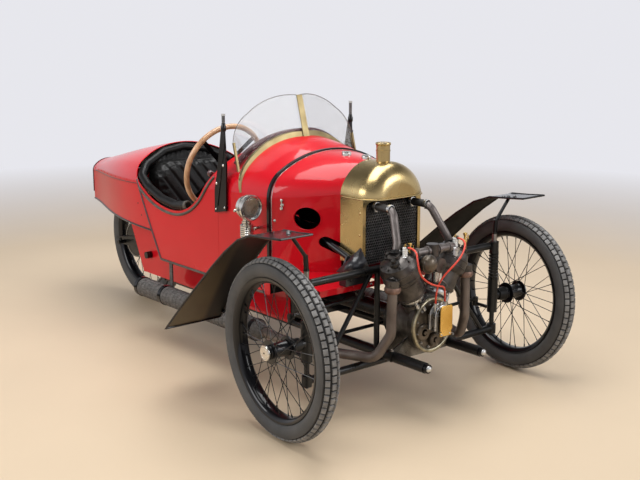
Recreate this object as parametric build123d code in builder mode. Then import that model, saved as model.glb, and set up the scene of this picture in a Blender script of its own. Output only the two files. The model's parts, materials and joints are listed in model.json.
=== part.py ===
from build123d import *
from math import atan2, cos, degrees, hypot, radians, sin, sqrt, tan
import os

os.makedirs("parts", exist_ok=True)

# A three wheeled car with a V-twin engine in front of its radiator. Millimetres, +X forward, +Y to the car's
# left, +Z up, the origin on the ground under the middle of the car.

# Axles, wheels and steering
front_axle_x = 1027
wheelbase = 1975
rear_axle_x = front_axle_x - wheelbase
track = 1248
kingpin_y = 505
steer_rest = -4  # the front wheels stand turned a little to the right
camber = 1.3
tyre_radius = 330
tyre_section = 78
rim_radius = 262
rim_depth = 24
rim_width = 60
spoke_count = 36
spoke_size = 3.2
hub_radius = 24
hub_length = 92
hub_flange_radius = 44
hub_flange_offset = 38
hub_cap_radius = 28
hub_cap_face = 56
axle_radius = 10
running_clearance = 0.3

# Chassis
lower_tube_radius = 20
lower_tube_y = 149
lower_tube_z = 224
lower_tube_front_x = front_axle_x + 263
tube_plug_radius = 17
tube_plug_length = 14
drive_z = 334
drive_tube_radius = 32
countershaft_x = -565
countershaft_radius = 17
bevel_box_length = 125
bevel_box_width = 104
bevel_box_height = 120
tube_clearance = 0.15  # round a tube that is held in a plate
fork_y = 132
chain_y = 72
chain_width = 12
small_sprocket_radius = 44
large_sprocket_radius = 88
chain_depth = 11
kingpin_radius = 10
kingpin_bottom_z = 168
kingpin_top_z = 600
cross_tube_radius = 15
upper_cross_z = 545
eye_half = 20
eye_radius = 19
sleeve_radius = 21
sleeve_bottom_z = 262
sleeve_top_z = 402
track_arm_z = 276
drag_arm_z = 388
steering_arm_length = 100
arm_eye_half = 9
arm_stud_radius = 5
eye_gap = 0.5

# Body skins
skin = 3
panel_gap = 1
body_bottom_z = 380
tail_end_x = -1365
tail_bottom_z = 505
tail_fillet = 34
bead_x = 567
radiator_back_x = 807
radiator_front_x = 982
bonnet_bottom_z = 493

# Body sections: x, half width, bottom of the shoulder, top, shoulder radius
bonnet_sections = [
    (radiator_back_x, 150, 800, 925, 90),
    (692, 243, 784, 936, 108),
    (bead_x, 320, 770, 945, 120),
]
body_sections = [
    (bead_x, 320, 770, 945, 120),
    (392, 330, 765, 990, 150),
    (92, 333, 750, 985, 150),
    (-473, 318, 715, 900, 120),
    (-1073, 177, 685, 782, 72),
    (tail_end_x, 92, 660, 722, 40),
]


def keep(builder, label):
    """Label a finished piece and write its STEP file."""
    builder.part.label = label
    export_step(builder.part, f"parts/{label}.step")


def rod(start, end, radius, bore=0, mode=Mode.ADD):
    """A round bar or tube between two points."""
    run = Vector(*end) - Vector(*start)
    with BuildSketch(Plane(origin=start, z_dir=run)) as section:
        Circle(radius)
        if bore:
            Circle(bore, mode=Mode.SUBTRACT)
    extrude(section.sketch, amount=run.length, mode=mode)


def prism(plane, points, depth, both=False, mode=Mode.ADD):
    """A polygon on a plane, extruded."""
    with BuildSketch(plane) as outline:
        with BuildLine():
            Polyline(*points, close=True)
        make_face()
    extrude(outline.sketch, amount=depth, both=both, mode=mode)


def turned(plane, points, mode=Mode.ADD):
    """A profile of (radius, height) points revolved about the plane's own axis."""
    profile_plane = Plane(origin=plane.origin, x_dir=plane.x_dir, z_dir=-plane.y_dir)
    with BuildSketch(profile_plane) as profile:
        with BuildLine():
            Polyline(*points, close=True)
        make_face()
    revolve(profile.sketch, axis=Axis(plane.origin, plane.z_dir), mode=mode)


def block(low, high, mode=Mode.ADD):
    """A box between two corners."""
    size = [b - a for a, b in zip(low, high)]
    middle = [(a + b) / 2 for a, b in zip(low, high)]
    with BuildSketch(Plane.XY.offset(low[2])) as base:
        with Locations((middle[0], middle[1])):
            Rectangle(size[0], size[1])
    extrude(base.sketch, amount=size[2], mode=mode)


def arch(x, half_width, shoulder_z, top_z, corner, bottom_z, inset=0):
    """A body section: straight sides, round shoulders and a crowned top."""
    w, top, r = half_width - inset, top_z - inset, corner - inset
    rise = top - shoulder_z
    crown = ((w - r) ** 2 + rise**2 - r**2) / (2 * (rise - r))
    reach = crown - r
    lean = atan2((shoulder_z - top + crown) / reach, (w - r) / reach)
    touch = (w - r + r * cos(lean), shoulder_z + r * sin(lean))
    middle = (w - r + r * cos(lean / 2), shoulder_z + r * sin(lean / 2))
    with BuildSketch(Plane.YZ.offset(x)) as section:
        with BuildLine():
            Line((w, bottom_z), (w, shoulder_z))
            ThreePointArc((w, shoulder_z), middle, touch)
            ThreePointArc(touch, (0, top), (-touch[0], touch[1]))
            ThreePointArc((-touch[0], touch[1]), (-middle[0], middle[1]), (-w, shoulder_z))
            Line((-w, shoulder_z), (-w, bottom_z))
            Line((-w, bottom_z), (w, bottom_z))
        make_face()
    return section.sketch


def body_loft(rows, bottom_z, inset=0, front=0, back=0):
    """A solid through a table of body sections, its two ends moved by front and back."""
    sections = []
    for i, (x, half_width, shoulder_z, top_z, corner) in enumerate(rows):
        shift = front if i == 0 else back if i == len(rows) - 1 else 0
        sections.append(arch(x + shift, half_width, shoulder_z, top_z, corner, bottom_z, inset))
    loft(sections)


def side_cut(points, mode, reach=450):
    """A side-view polygon of (x, z) points taken right across the car."""
    prism(Plane.XZ, points, reach, both=True, mode=mode)


sides = [("right", -1), ("left", 1)]
wheel_height = (tyre_radius - tyre_section / 2) * cos(radians(camber)) + tyre_section / 2

# ---------------------------------------------------------------- wheels and tyres
with BuildPart() as wheel_hub:
    turned(
        Plane.XY,
        [
            (axle_radius + running_clearance, -hub_length / 2), (hub_radius, -hub_length / 2),
            (hub_flange_radius, -hub_flange_offset - 4), (hub_flange_radius, -hub_flange_offset + 2),
            (hub_radius, -hub_flange_offset + 6), (hub_radius, hub_flange_offset - 6),
            (hub_flange_radius, hub_flange_offset - 2), (hub_flange_radius, hub_flange_offset + 4),
            (hub_radius, hub_length / 2), (axle_radius + running_clearance, hub_length / 2),
        ],
    )

with BuildPart() as spoked_rim:
    half = rim_width / 2
    bed = rim_radius - rim_depth + 6
    turned(
        Plane.XY,
        [
            (bed - 4, -16), (rim_radius, -half), (rim_radius, 3 - half), (bed, -13),
            (bed, 13), (rim_radius, half - 3), (rim_radius, half), (bed - 4, 16),
        ],
    )
    for i in range(spoke_count):
        flange = 1 if i % 2 else -1
        lean = 38 if i % 4 < 2 else -38
        hub_angle = radians(i * 360 / spoke_count + lean)
        rim_angle = radians(i * 360 / spoke_count)
        seat_radius = hub_flange_radius - 6
        start = Vector(seat_radius * cos(hub_angle), seat_radius * sin(hub_angle), flange * hub_flange_offset)
        end = Vector((bed - 2) * cos(rim_angle), (bed - 2) * sin(rim_angle), flange * 4)
        with BuildSketch(Plane(origin=start, z_dir=end - start)) as spoke:
            Rectangle(spoke_size, spoke_size)
        extrude(spoke.sketch, amount=(end - start).length)
    add(wheel_hub.part, mode=Mode.SUBTRACT)

with BuildPart() as plain_tyre:
    tread_radius = tyre_section / 2
    middle = tyre_radius - tread_radius
    foot = sqrt(tread_radius**2 - (rim_radius + 1 - middle) ** 2)
    with BuildSketch(Plane.XZ) as tyre_profile:
        with BuildLine():
            ThreePointArc((rim_radius + 1, -foot), (tyre_radius, 0), (rim_radius + 1, foot))
            Polyline(
                (rim_radius + 1, foot), (rim_radius + 1, half - 6), (bed + 4, 11),
                (bed + 4, -11), (rim_radius + 1, 6 - half), (rim_radius + 1, -foot),
            )
        make_face()
    revolve(axis=Axis.Z)

with BuildPart() as hub_cap:
    turned(
        Plane.XY,
        [
            (0, hub_length / 2 + 1), (hub_cap_radius - 6, hub_length / 2 + 1),
            (hub_cap_radius - 2, hub_cap_face - 4), (hub_cap_radius, hub_cap_face),
            (hub_cap_radius - 5, hub_cap_face + 5), (0, hub_cap_face + 6),
        ],
    )


def wheel_plane(side):
    """The plane of a front wheel: its own axis points away from the car."""
    turn = radians(steer_rest)
    reach = track / 2 - kingpin_y
    lift = radians(camber)
    outward = Vector(-side * sin(turn), side * cos(turn), 0)
    axis = Vector(outward.X * cos(lift), outward.Y * cos(lift), -sin(lift))
    origin = Vector(front_axle_x, side * kingpin_y, wheel_height) + outward * reach
    return Plane(origin=origin, x_dir=Vector(cos(turn), sin(turn), 0), z_dir=axis)


rear_wheel_plane = Plane(origin=(rear_axle_x, 0, tyre_radius), x_dir=(1, 0, 0), z_dir=(0, -1, 0))

for name, side in sides:
    place = wheel_plane(side).location
    with BuildPart() as front_wheel:
        add(spoked_rim.part.moved(place))
        add(wheel_hub.part.moved(place))
        add(hub_cap.part.moved(place))
    keep(front_wheel, f"front_{name}_wheel")
    with BuildPart() as front_tyre:
        add(plain_tyre.part.moved(place))
    keep(front_tyre, f"front_{name}_tyre")

with BuildPart() as rear_wheel:
    add(spoked_rim.part.moved(rear_wheel_plane.location))
keep(rear_wheel, "rear_wheel")
with BuildPart() as rear_hub:
    add(wheel_hub.part.moved(rear_wheel_plane.location))
    for name, side in sides:
        collar_start = hub_length / 2 - 1
        turned(
            Plane(origin=(rear_axle_x, 0, tyre_radius), x_dir=(1, 0, 0), z_dir=(0, side, 0)),
            [
                (axle_radius + 2, collar_start), (hub_radius - 3, collar_start),
                (hub_radius - 3, chain_y - 4), (large_sprocket_radius, chain_y - 4),
                (large_sprocket_radius, chain_y + 4),
                (axle_radius + 2, chain_y + 4),
            ],
        )
keep(rear_hub, "rear_hub")
with BuildPart() as rear_tyre:
    add(plain_tyre.part.moved(rear_wheel_plane.location))
keep(rear_tyre, "rear_tyre")

# ---------------------------------------------------------------- chassis
with BuildPart() as lower_tubes:
    for name, side in sides:
        y = side * lower_tube_y
        tube_end_x = lower_tube_front_x - tube_plug_length
        rod((countershaft_x + 60, y, lower_tube_z), (tube_end_x, y, lower_tube_z), lower_tube_radius)
        rod((tube_end_x, y, lower_tube_z), (lower_tube_front_x, y, lower_tube_z), tube_plug_radius)
keep(lower_tubes, "lower_tubes")

lower_cross_z = lower_tube_z - lower_tube_radius - cross_tube_radius
cross_levels = [
    ("lower_cross_tube", front_axle_x, lower_cross_z), ("upper_cross_tube", front_axle_x - 14, upper_cross_z),
]
cross_tubes = []
for label, tube_x, level in cross_levels:
    with BuildPart() as cross_tube:
        rod((tube_x, -kingpin_y, level), (tube_x, kingpin_y, level), cross_tube_radius)
        for name, side in sides:
            eye = (front_axle_x, side * kingpin_y)
            rod((*eye, level - eye_half), (*eye, level + eye_half), eye_radius)
            rod((*eye, level - 40), (*eye, level + 40), kingpin_radius + 0.15, mode=Mode.SUBTRACT)
    keep(cross_tube, label)
    cross_tubes.append(cross_tube.part)

with BuildPart() as frame_braces:
    for name, side in sides:
        brace_top = (front_axle_x - 14, side * lower_tube_y, upper_cross_z)
        rod(brace_top, (brace_top[0], brace_top[1], lower_tube_z), 11)
        stay_top = (brace_top[0], side * (lower_tube_y + 26), upper_cross_z)
        rod(stay_top, (front_axle_x, side * (kingpin_y - 60), lower_cross_z), 9)
    for tube in (*cross_tubes, lower_tubes.part):
        add(tube, mode=Mode.SUBTRACT)
keep(frame_braces, "frame_braces")

with BuildPart() as sliding_pillars:
    for name, side in sides:
        y = side * kingpin_y
        rod((front_axle_x, y, kingpin_bottom_z), (front_axle_x, y, kingpin_top_z), kingpin_radius)
        coils = 9
        pitch = (upper_cross_z - eye_half - sleeve_top_z - 6) / coils
        for i in range(coils):
            level = sleeve_top_z + 4 + pitch * (i + 0.5)
            turned(
                Plane.XY.move(Location((front_axle_x, y, level))),
                [(kingpin_radius - 1, -1.5), (20, -3), (20, 3), (kingpin_radius - 1, 1.5)],
            )
keep(sliding_pillars, "sliding_pillars")

for name, side in sides:
    turn = radians(steer_rest)
    back = Vector(-cos(turn), -sin(turn), 0)
    pin = Vector(front_axle_x, side * kingpin_y, 0)
    plane = wheel_plane(side)
    with BuildPart() as stub:
        rod((pin.X, pin.Y, sleeve_bottom_z), (pin.X, pin.Y, sleeve_top_z), sleeve_radius)
        inner_end = plane.origin - plane.z_dir * (hub_length / 2 + 1)
        root_end = plane.origin - plane.z_dir * (track / 2 - kingpin_y - 6)
        rod(tuple(root_end), tuple(inner_end), 17)
        rod(tuple(inner_end), tuple(plane.origin + plane.z_dir * (hub_length / 2)), axle_radius)
        arm_levels = [track_arm_z] if side > 0 else [track_arm_z, drag_arm_z]
        for level in arm_levels:
            eye = pin + back * steering_arm_length
            rod((pin.X + back.X * 12, pin.Y + back.Y * 12, level), (eye.X, eye.Y, level), 7)
            rod((eye.X, eye.Y, level - arm_eye_half), (eye.X, eye.Y, level + arm_eye_half), 12)
            rod(
                (eye.X, eye.Y, level + arm_eye_half - 1),
                (eye.X, eye.Y, level + 3 * arm_eye_half + 3), arm_stud_radius,
            )
        rod(
            (pin.X, pin.Y, sleeve_bottom_z - 5), (pin.X, pin.Y, sleeve_top_z + 5),
            kingpin_radius + running_clearance, mode=Mode.SUBTRACT,
        )
    keep(stub, f"stub_axle_{name}")

back = Vector(-cos(radians(steer_rest)), -sin(radians(steer_rest)), 0)
right_eye = Vector(front_axle_x, -kingpin_y, 0) + back * steering_arm_length
left_eye = Vector(front_axle_x, kingpin_y, 0) + back * steering_arm_length
rod_level = track_arm_z + 2 * arm_eye_half + eye_gap
with BuildPart() as track_rod:
    rod((right_eye.X, right_eye.Y, rod_level), (left_eye.X, left_eye.Y, rod_level), 7)
    for eye in (right_eye, left_eye):
        rod((eye.X, eye.Y, rod_level - arm_eye_half), (eye.X, eye.Y, rod_level + arm_eye_half), 13)
        rod(
            (eye.X, eye.Y, rod_level - 12), (eye.X, eye.Y, rod_level + 12),
            arm_stud_radius + running_clearance, mode=Mode.SUBTRACT,
        )
keep(track_rod, "track_rod")

# Steering column: the wheel's centre, the column's slope, the drop arm at its front end
steering_wheel_radius = 205
steering_wheel_x = 42
steering_wheel_y = -170
steering_wheel_z = 832
column_slope = 17.5
column_radius = 14
column_length = 972
drop_arm_length = steering_arm_length / cos(radians(column_slope))
drop_eye_half = 9
link_gap = 0.8
column_axis = Vector(-cos(radians(column_slope)), 0, sin(radians(column_slope)))
column_down = Vector(-sin(radians(column_slope)), 0, -cos(radians(column_slope)))
wheel_centre = Vector(steering_wheel_x, steering_wheel_y, steering_wheel_z)
column_end = wheel_centre - column_axis * column_length
arm_end = column_end + column_down * drop_arm_length
with BuildPart() as steering_column:
    rod(tuple(wheel_centre - column_axis * 14), tuple(column_end), column_radius)
    rod(tuple(column_end), tuple(arm_end), 8)
    rod(tuple(arm_end + column_axis * drop_eye_half), tuple(arm_end - column_axis * drop_eye_half), 13)
keep(steering_column, "steering_column")
wheel_face = Plane(origin=wheel_centre, x_dir=(0, 1, 0), z_dir=column_axis)
grip_radius = 12
with BuildPart() as steering_wheel:
    with BuildSketch(Plane(origin=wheel_centre, x_dir=(0, 1, 0), z_dir=-wheel_face.y_dir)) as rim:
        with Locations((steering_wheel_radius - grip_radius, 0)):
            Circle(grip_radius)
    revolve(rim.sketch, axis=Axis(wheel_centre, column_axis))
keep(steering_wheel, "steering_wheel")
with BuildPart() as steering_spider:
    turned(wheel_face, [(0, -14), (30, -14), (34, -6), (24, 6), (0, 8)])
    arm_length = steering_wheel_radius - 2 * grip_radius + 4
    for i in range(4):
        angle = 45 + 90 * i
        middle = Vector(arm_length / 2, 0).rotate(Axis.Z, angle)
        with BuildSketch(wheel_face.offset(-3)) as spoke:
            with Locations(Location(middle, (0, 0, angle))):
                Rectangle(arm_length, 20)
        extrude(spoke.sketch, amount=4)
    add(steering_wheel.part, mode=Mode.SUBTRACT)
keep(steering_spider, "steering_spider")

stud_radius = 8
link_end = arm_end - column_axis * (drop_eye_half + link_gap + stud_radius)
with BuildPart() as drag_link:
    link_level = drag_arm_z + 2 * arm_eye_half + eye_gap
    rod((right_eye.X, right_eye.Y, link_level), tuple(link_end), 7)
    rod(
        (right_eye.X, right_eye.Y, link_level - arm_eye_half),
        (right_eye.X, right_eye.Y, link_level + arm_eye_half), 13,
    )
    rod(
        (right_eye.X, right_eye.Y, link_level - 14), (right_eye.X, right_eye.Y, link_level + 14),
        arm_stud_radius + running_clearance, mode=Mode.SUBTRACT,
    )
    rod(tuple(link_end - column_down * 11), tuple(link_end + column_down * 11), stud_radius)
keep(drag_link, "drag_link")

# ---------------------------------------------------------------- engine and drive
crank_x = front_axle_x + 5
cylinder_x = front_axle_x + 88
timing_x = front_axle_x + 112
vee = 30
drum_radius = 106
cylinder_foot = 107
manifold_x = cylinder_x + 40
manifold_z = 622
case_depth = timing_x + 24 - crank_x
with BuildPart() as crankcase:
    case_plane = Plane(origin=(crank_x, 0, drive_z), x_dir=(0, 1, 0), z_dir=(1, 0, 0))
    turned(
        case_plane,
        [
            (0, 0), (80, 0), (92, 12), (92, case_depth - 34), (drum_radius, case_depth - 32),
            (drum_radius, case_depth - 8), (drum_radius - 10, case_depth), (0, case_depth),
        ],
    )
    for name, side in sides:
        lean = radians(vee) * side
        direction = Vector(0, sin(lean), cos(lean))
        start = Vector(cylinder_x, 0, drive_z)
        rod(tuple(start + direction * 60), tuple(start + direction * cylinder_foot), 46)
    for x in (crank_x + 14, timing_x - 28):
        prism(
            Plane.YZ.offset(x),
            [
                (-lower_tube_y - 24, lower_tube_z - 14), (lower_tube_y + 24, lower_tube_z - 14),
                (lower_tube_y + 24, lower_tube_z + 26), (70, 300), (-70, 300),
                (-lower_tube_y - 24, lower_tube_z + 26),
            ],
            8,
        )
    for name, side in sides:
        y = side * lower_tube_y
        rod(
            (crank_x - 10, y, lower_tube_z), (timing_x + 40, y, lower_tube_z),
            lower_tube_radius + tube_clearance, mode=Mode.SUBTRACT,
        )
keep(crankcase, "crankcase")

# Sparking plug leads, each from its plug to its terminal on the magneto
magneto_x = timing_x + 28
terminal_x = magneto_x + 26
terminal_z = 426
lead_radius = 3.5
lead_points = {
    "right": [
        (1160, -134, 650), (1214, -148, 656), (1240, -166, 612), (1240, -150, 562), (1236, -104, 528),
        (1230, -52, 506), (1214, 0, 494), (terminal_x, 32, 468), (terminal_x, 32, terminal_z),
    ],
    "left": [
        (1160, 134, 650), (1212, 118, 655), (1236, 84, 618), (1236, 44, 580), (1216, 4, 540),
        (terminal_x, -18, 484), (terminal_x, -18, terminal_z),
    ],
}
port_y = 196
port_z = 506
cylinders = []
for name, side in sides:
    lean = radians(vee) * side
    direction = Vector(0, sin(lean), cos(lean))
    foot_plane = Plane(origin=(cylinder_x, 0, drive_z), x_dir=(1, 0, 0), z_dir=direction)
    with BuildPart() as cylinder:
        turned(
            foot_plane,
            [
                (0, cylinder_foot), (50, cylinder_foot), (50, 116), (44, 116), (44, 138), (58, 142),
                (62, 150), (62, 214), (71, 222), (75, 236), (75, 272), (66, 298), (40, 314), (24, 318),
                (24, 330), (0, 330),
            ],
        )
        port = Vector(cylinder_x + 30, side * port_y, port_z)
        rod((cylinder_x + 10, side * 150, port_z + 50), tuple(port + Vector(0, 0, 20)), 20)
        rod(tuple(port + Vector(0, 0, 30)), tuple(port), 27)
        lead_start, lead_next = [Vector(*point) for point in lead_points[name][:2]]
        terminal = lead_start - (lead_next - lead_start).normalized() * 16
        rod((terminal.X, terminal.Y, 600), (terminal.X, terminal.Y, terminal.Z + 8), 9)
        rod(tuple(terminal), tuple(lead_start), 5)
    keep(cylinder, f"cylinder_{name}")
    cylinders.append(cylinder.part)

with BuildPart() as inlet_manifold:
    rod((manifold_x, -110, manifold_z), (manifold_x, 110, manifold_z), 15)
    rod((manifold_x, 0, manifold_z + 24), (manifold_x, 0, manifold_z - 70), 24)
    rod((manifold_x, 0, manifold_z - 52), (manifold_x + 46, 0, manifold_z - 52), 28)
    for cylinder in cylinders:
        add(cylinder, mode=Mode.SUBTRACT)
keep(inlet_manifold, "inlet_manifold")

with BuildPart() as magneto:
    block((magneto_x, -30, 322), (magneto_x + 52, 44, 382))
    rod((magneto_x + 4, 7, 380), (magneto_x + 48, 7, 380), 34)
    block((magneto_x + 52, -20, 330), (magneto_x + 60, 34, 402))
    for y in (-18, 32):
        rod((terminal_x, y, 390), (terminal_x, y, terminal_z), 7)
keep(magneto, "magneto")

for name, side in sides:
    points = lead_points[name]
    turns = []
    for before, corner, after in zip(points, points[1:], points[2:]):
        run_in = Vector(*corner) - Vector(*before)
        run_out = Vector(*after) - Vector(*corner)
        half_turn = radians(run_in.get_angle(run_out)) / 2
        turns.append(0.45 * min(run_in.length, run_out.length) / tan(half_turn))
    with BuildPart() as plug_lead:
        with BuildLine() as lead_route:
            FilletPolyline(*points, radius=turns)
        with BuildSketch(Plane(origin=lead_route.line @ 0, z_dir=lead_route.line % 0)) as lead_section:
            Circle(lead_radius)
        sweep(lead_section.sketch, path=lead_route.wire())
    keep(plug_lead, f"plug_lead_{name}")

exhaust_radius = 19
silencer_radius = 43
silencer_y = 345
silencer_z = 228
silencer_rear_x = -425
silencer_front_x = 560
hanger_places = [-190, 400]
hanger_y = 314
hanger_height = body_bottom_z + 0.8
for (name, side), cylinder in zip(sides, cylinders):
    start = Vector(cylinder_x + 30, side * port_y, port_z)
    points = [
        start,
        Vector(start.X, side * 200, 330),
        Vector(start.X - 50, side * 232, silencer_z + 4),
        Vector(830, side * silencer_y, silencer_z),
        Vector(silencer_front_x, side * silencer_y, silencer_z),
    ]
    with BuildPart() as exhaust:
        with BuildLine() as route:
            FilletPolyline(*points, radius=[60, 60, 120])
        with BuildSketch(Plane(origin=route.line @ 0, z_dir=route.line % 0)) as bore:
            Circle(exhaust_radius)
        sweep(bore.sketch, path=route.wire())
        add(cylinder, mode=Mode.SUBTRACT)
    keep(exhaust, f"exhaust_{name}")

silencer_length = silencer_front_x - silencer_rear_x
with BuildPart() as silencers:
    for name, side in sides:
        rear = Vector(silencer_rear_x, side * silencer_y, silencer_z)
        turned(
            Plane(origin=rear, x_dir=(0, 1, 0), z_dir=(1, 0, 0)),
            [
                (0, 0), (silencer_radius - 8, 0), (silencer_radius, 12),
                (silencer_radius, silencer_length - 40), (exhaust_radius + 4, silencer_length),
                (0, silencer_length),
            ],
        )
        inner, outer = sorted((side * hanger_y, side * (hanger_y + 6)))
        for x in hanger_places:
            block((x - 12, inner, silencer_z + 20), (x + 12, outer, hanger_height))
keep(silencers, "silencers")

tube_start_x = countershaft_x + 25
bell_x = crank_x - tube_start_x
shaft_end_y = 232
with BuildPart() as torque_tube:
    turned(
        Plane(origin=(tube_start_x, 0, drive_z), x_dir=(0, 1, 0), z_dir=(1, 0, 0)),
        [
            (0, 0), (drive_tube_radius, 0), (drive_tube_radius, bell_x - 70), (70, bell_x - 66),
            (86, bell_x - 50), (86, bell_x - 12), (60, bell_x - 0.3), (0, bell_x - 0.3),
        ],
    )
    block(
        (countershaft_x - 24, -bevel_box_width / 2, drive_z - bevel_box_height / 2),
        (countershaft_x - 24 + bevel_box_length, bevel_box_width / 2, drive_z + bevel_box_height / 2),
    )
    shaft_step = chain_y + 14
    rod((countershaft_x, -shaft_end_y, drive_z), (countershaft_x, -shaft_step, drive_z), countershaft_radius)
    rod((countershaft_x, shaft_end_y, drive_z), (countershaft_x, shaft_step, drive_z), countershaft_radius)
    rod((countershaft_x, -shaft_step, drive_z), (countershaft_x, shaft_step, drive_z), 12)
    for name, side in sides:
        inner, outer = side * (chain_y - 4), side * (chain_y + 4)
        rod((countershaft_x, inner, drive_z), (countershaft_x, outer, drive_z), small_sprocket_radius)
    prism(
        Plane.YZ.offset(countershaft_x + 62),
        [
            (-lower_tube_y - 22, lower_tube_z - 14), (lower_tube_y + 22, lower_tube_z - 14),
            (lower_tube_y + 22, lower_tube_z + 26), (50, drive_z - 20), (-50, drive_z - 20),
            (-lower_tube_y - 22, lower_tube_z + 26),
        ],
        10,
    )
    for name, side in sides:
        y = side * lower_tube_y
        rod(
            (countershaft_x + 50, y, lower_tube_z), (countershaft_x + 90, y, lower_tube_z),
            lower_tube_radius + tube_clearance, mode=Mode.SUBTRACT,
        )
keep(torque_tube, "torque_tube")

spring_y = fork_y + 30
spring_drop = 68
spring_seat_z = drive_z + bevel_box_height / 2 + 0.3
spring_leaf = 7
spring_width = 40
spring_top_z = spring_seat_z + 36
with BuildPart() as rear_fork:
    for name, side in sides:
        prism(
            Plane.XZ.offset(-side * fork_y - 4),
            [
                (countershaft_x + 30, drive_z + 26), (countershaft_x + 30, drive_z - 26),
                (rear_axle_x + 40, tyre_radius - 18), (rear_axle_x - 30, tyre_radius - 18),
                (rear_axle_x - 30, tyre_radius + 18), (rear_axle_x + 40, tyre_radius + 18),
            ],
            8,
        )
        rod(
            (countershaft_x, side * (fork_y - 12), drive_z), (countershaft_x, side * (fork_y + 12), drive_z),
            countershaft_radius + tube_clearance, mode=Mode.SUBTRACT,
        )
    rod((rear_axle_x, -spring_y - 14, tyre_radius), (rear_axle_x, spring_y + 14, tyre_radius), axle_radius)
    for name, side in sides:
        foot, head = tyre_radius, spring_top_z - spring_leaf - spring_drop
        rod((rear_axle_x, side * spring_y, foot), (rear_axle_x, side * spring_y, head), 8)
keep(rear_fork, "rear_fork")

with BuildPart() as rear_springs:
    for name, side in sides:
        for i, reach in enumerate((1, 0.8, 0.6, 0.4)):
            root_x = countershaft_x + 60
            end_x = root_x + (rear_axle_x - root_x) * reach
            root_z = spring_top_z - spring_leaf * i
            end_z = root_z - spring_drop * reach
            prism(
                Plane.XZ.offset(-side * spring_y - spring_width / 2),
                [
                    (root_x, root_z), (end_x, end_z), (end_x, end_z - spring_leaf),
                    (root_x, root_z - spring_leaf),
                ],
                spring_width,
            )
        inner, outer = side * spring_y - 22, side * spring_y + 22
        block((countershaft_x + 10, inner, spring_seat_z), (countershaft_x + 60, outer, spring_seat_z + 40))
    block((countershaft_x + 10, -spring_y, spring_seat_z), (countershaft_x + 60, spring_y, spring_seat_z + 8))
keep(rear_springs, "rear_springs")

with BuildPart() as drive_chains:
    for name, side in sides:
        centre_run = countershaft_x - rear_axle_x
        for grow, mode in ((chain_depth, Mode.ADD), (0, Mode.SUBTRACT)):
            big = large_sprocket_radius + 0.6 + grow
            small = small_sprocket_radius + 0.6 + grow
            wrap = radians(90) - atan2(sqrt(centre_run**2 - (big - small) ** 2), big - small)
            lean = radians(90) - wrap
            centre = Vector(rear_axle_x, side * chain_y, tyre_radius)
            along = Vector(centre_run, 0, drive_z - tyre_radius)
            run_plane = Plane(origin=centre, x_dir=along, z_dir=(0, -1, 0))
            run_length = hypot(centre_run, drive_z - tyre_radius)
            with BuildSketch(run_plane) as loop:
                Circle(big)
                with Locations((run_length, 0)):
                    Circle(small)
                with BuildLine():
                    near_x, near_y = big * cos(lean), big * sin(lean)
                    far_x, far_y = run_length + small * cos(lean), small * sin(lean)
                    Polyline((near_x, near_y), (far_x, far_y), (far_x, -far_y), (near_x, -near_y), close=True)
                make_face()
            extrude(loop.sketch, amount=chain_width / 2, both=True, mode=mode)
keep(drive_chains, "drive_chains")

# ---------------------------------------------------------------- radiator
radiator_half = 155
radiator_sheet = 3
radiator_bottom_z = 545
dome_bottom_z = 796
apron_front_x = 936
with BuildPart() as radiator_shell:
    extrude(
        arch(radiator_back_x, radiator_half, 800, 930, 92, dome_bottom_z),
        amount=radiator_front_x - radiator_back_x,
    )
    dome_front = radiator_shell.part.faces().sort_by(Axis.X)[-1]
    fillet(dome_front.edges().filter_by(lambda e: e.center().Z > dome_bottom_z + 1), 78)
    for name, side in sides:
        inner, outer = sorted((side * radiator_half, side * (radiator_half - radiator_sheet)))
        block((radiator_back_x, inner, radiator_bottom_z), (apron_front_x, outer, dome_bottom_z + 1))
    with BuildSketch(Plane.YZ.offset(apron_front_x - radiator_sheet)) as apron:
        with Locations((0, radiator_bottom_z)):
            height = dome_bottom_z - radiator_bottom_z
            Rectangle(2 * radiator_half, height + 1, align=(Align.CENTER, Align.MIN))
        with BuildSketch(mode=Mode.PRIVATE) as mouth:
            with Locations((0, radiator_bottom_z - 1)):
                Rectangle(2 * radiator_half - 30, height - 7, align=(Align.CENTER, Align.MIN))
            fillet(mouth.vertices().group_by(Axis.Y)[-1], 30)
        add(mouth.sketch, mode=Mode.SUBTRACT)
    extrude(apron.sketch, amount=radiator_sheet)
    turned(
        Plane.XY.move(Location((880, 0, 0))),
        [
            (0, 915), (19, 915), (19, 964), (27, 968), (27, 974), (23, 976), (25, 996), (20, 1000), (0, 1000),
        ],
    )
keep(radiator_shell, "radiator_shell")

with BuildPart() as radiator_core:
    core_half = radiator_half - radiator_sheet - 1
    core_front_x = apron_front_x - radiator_sheet - 1
    core_bottom_z = radiator_bottom_z + 1
    block((radiator_back_x + 12, -core_half, core_bottom_z), (core_front_x, core_half, dome_bottom_z - 0.5))
    for i in range(19):
        level = core_bottom_z + 10 + 12 * i
        block((core_front_x - 4, -136, level), (core_front_x + 1, 136, level + 4), mode=Mode.SUBTRACT)
keep(radiator_core, "radiator_core")

with BuildPart() as water_hoses:
    for name, side in sides:
        points = [
            Vector(core_front_x + 0.4, side * 96, 770), Vector(1040, side * 98, 768),
            Vector(cylinder_x - 16, side * 132, 655), Vector(cylinder_x - 8, side * 146, 622),
        ]
        with BuildLine() as route:
            FilletPolyline(*points, radius=[46, 30])
        with BuildSketch(Plane(origin=route.line @ 0, z_dir=route.line % 0)) as bore:
            Circle(15)
        sweep(bore.sketch, path=route.wire())
    for cylinder in cylinders:
        add(cylinder, mode=Mode.SUBTRACT)
keep(water_hoses, "water_hoses")

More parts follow.
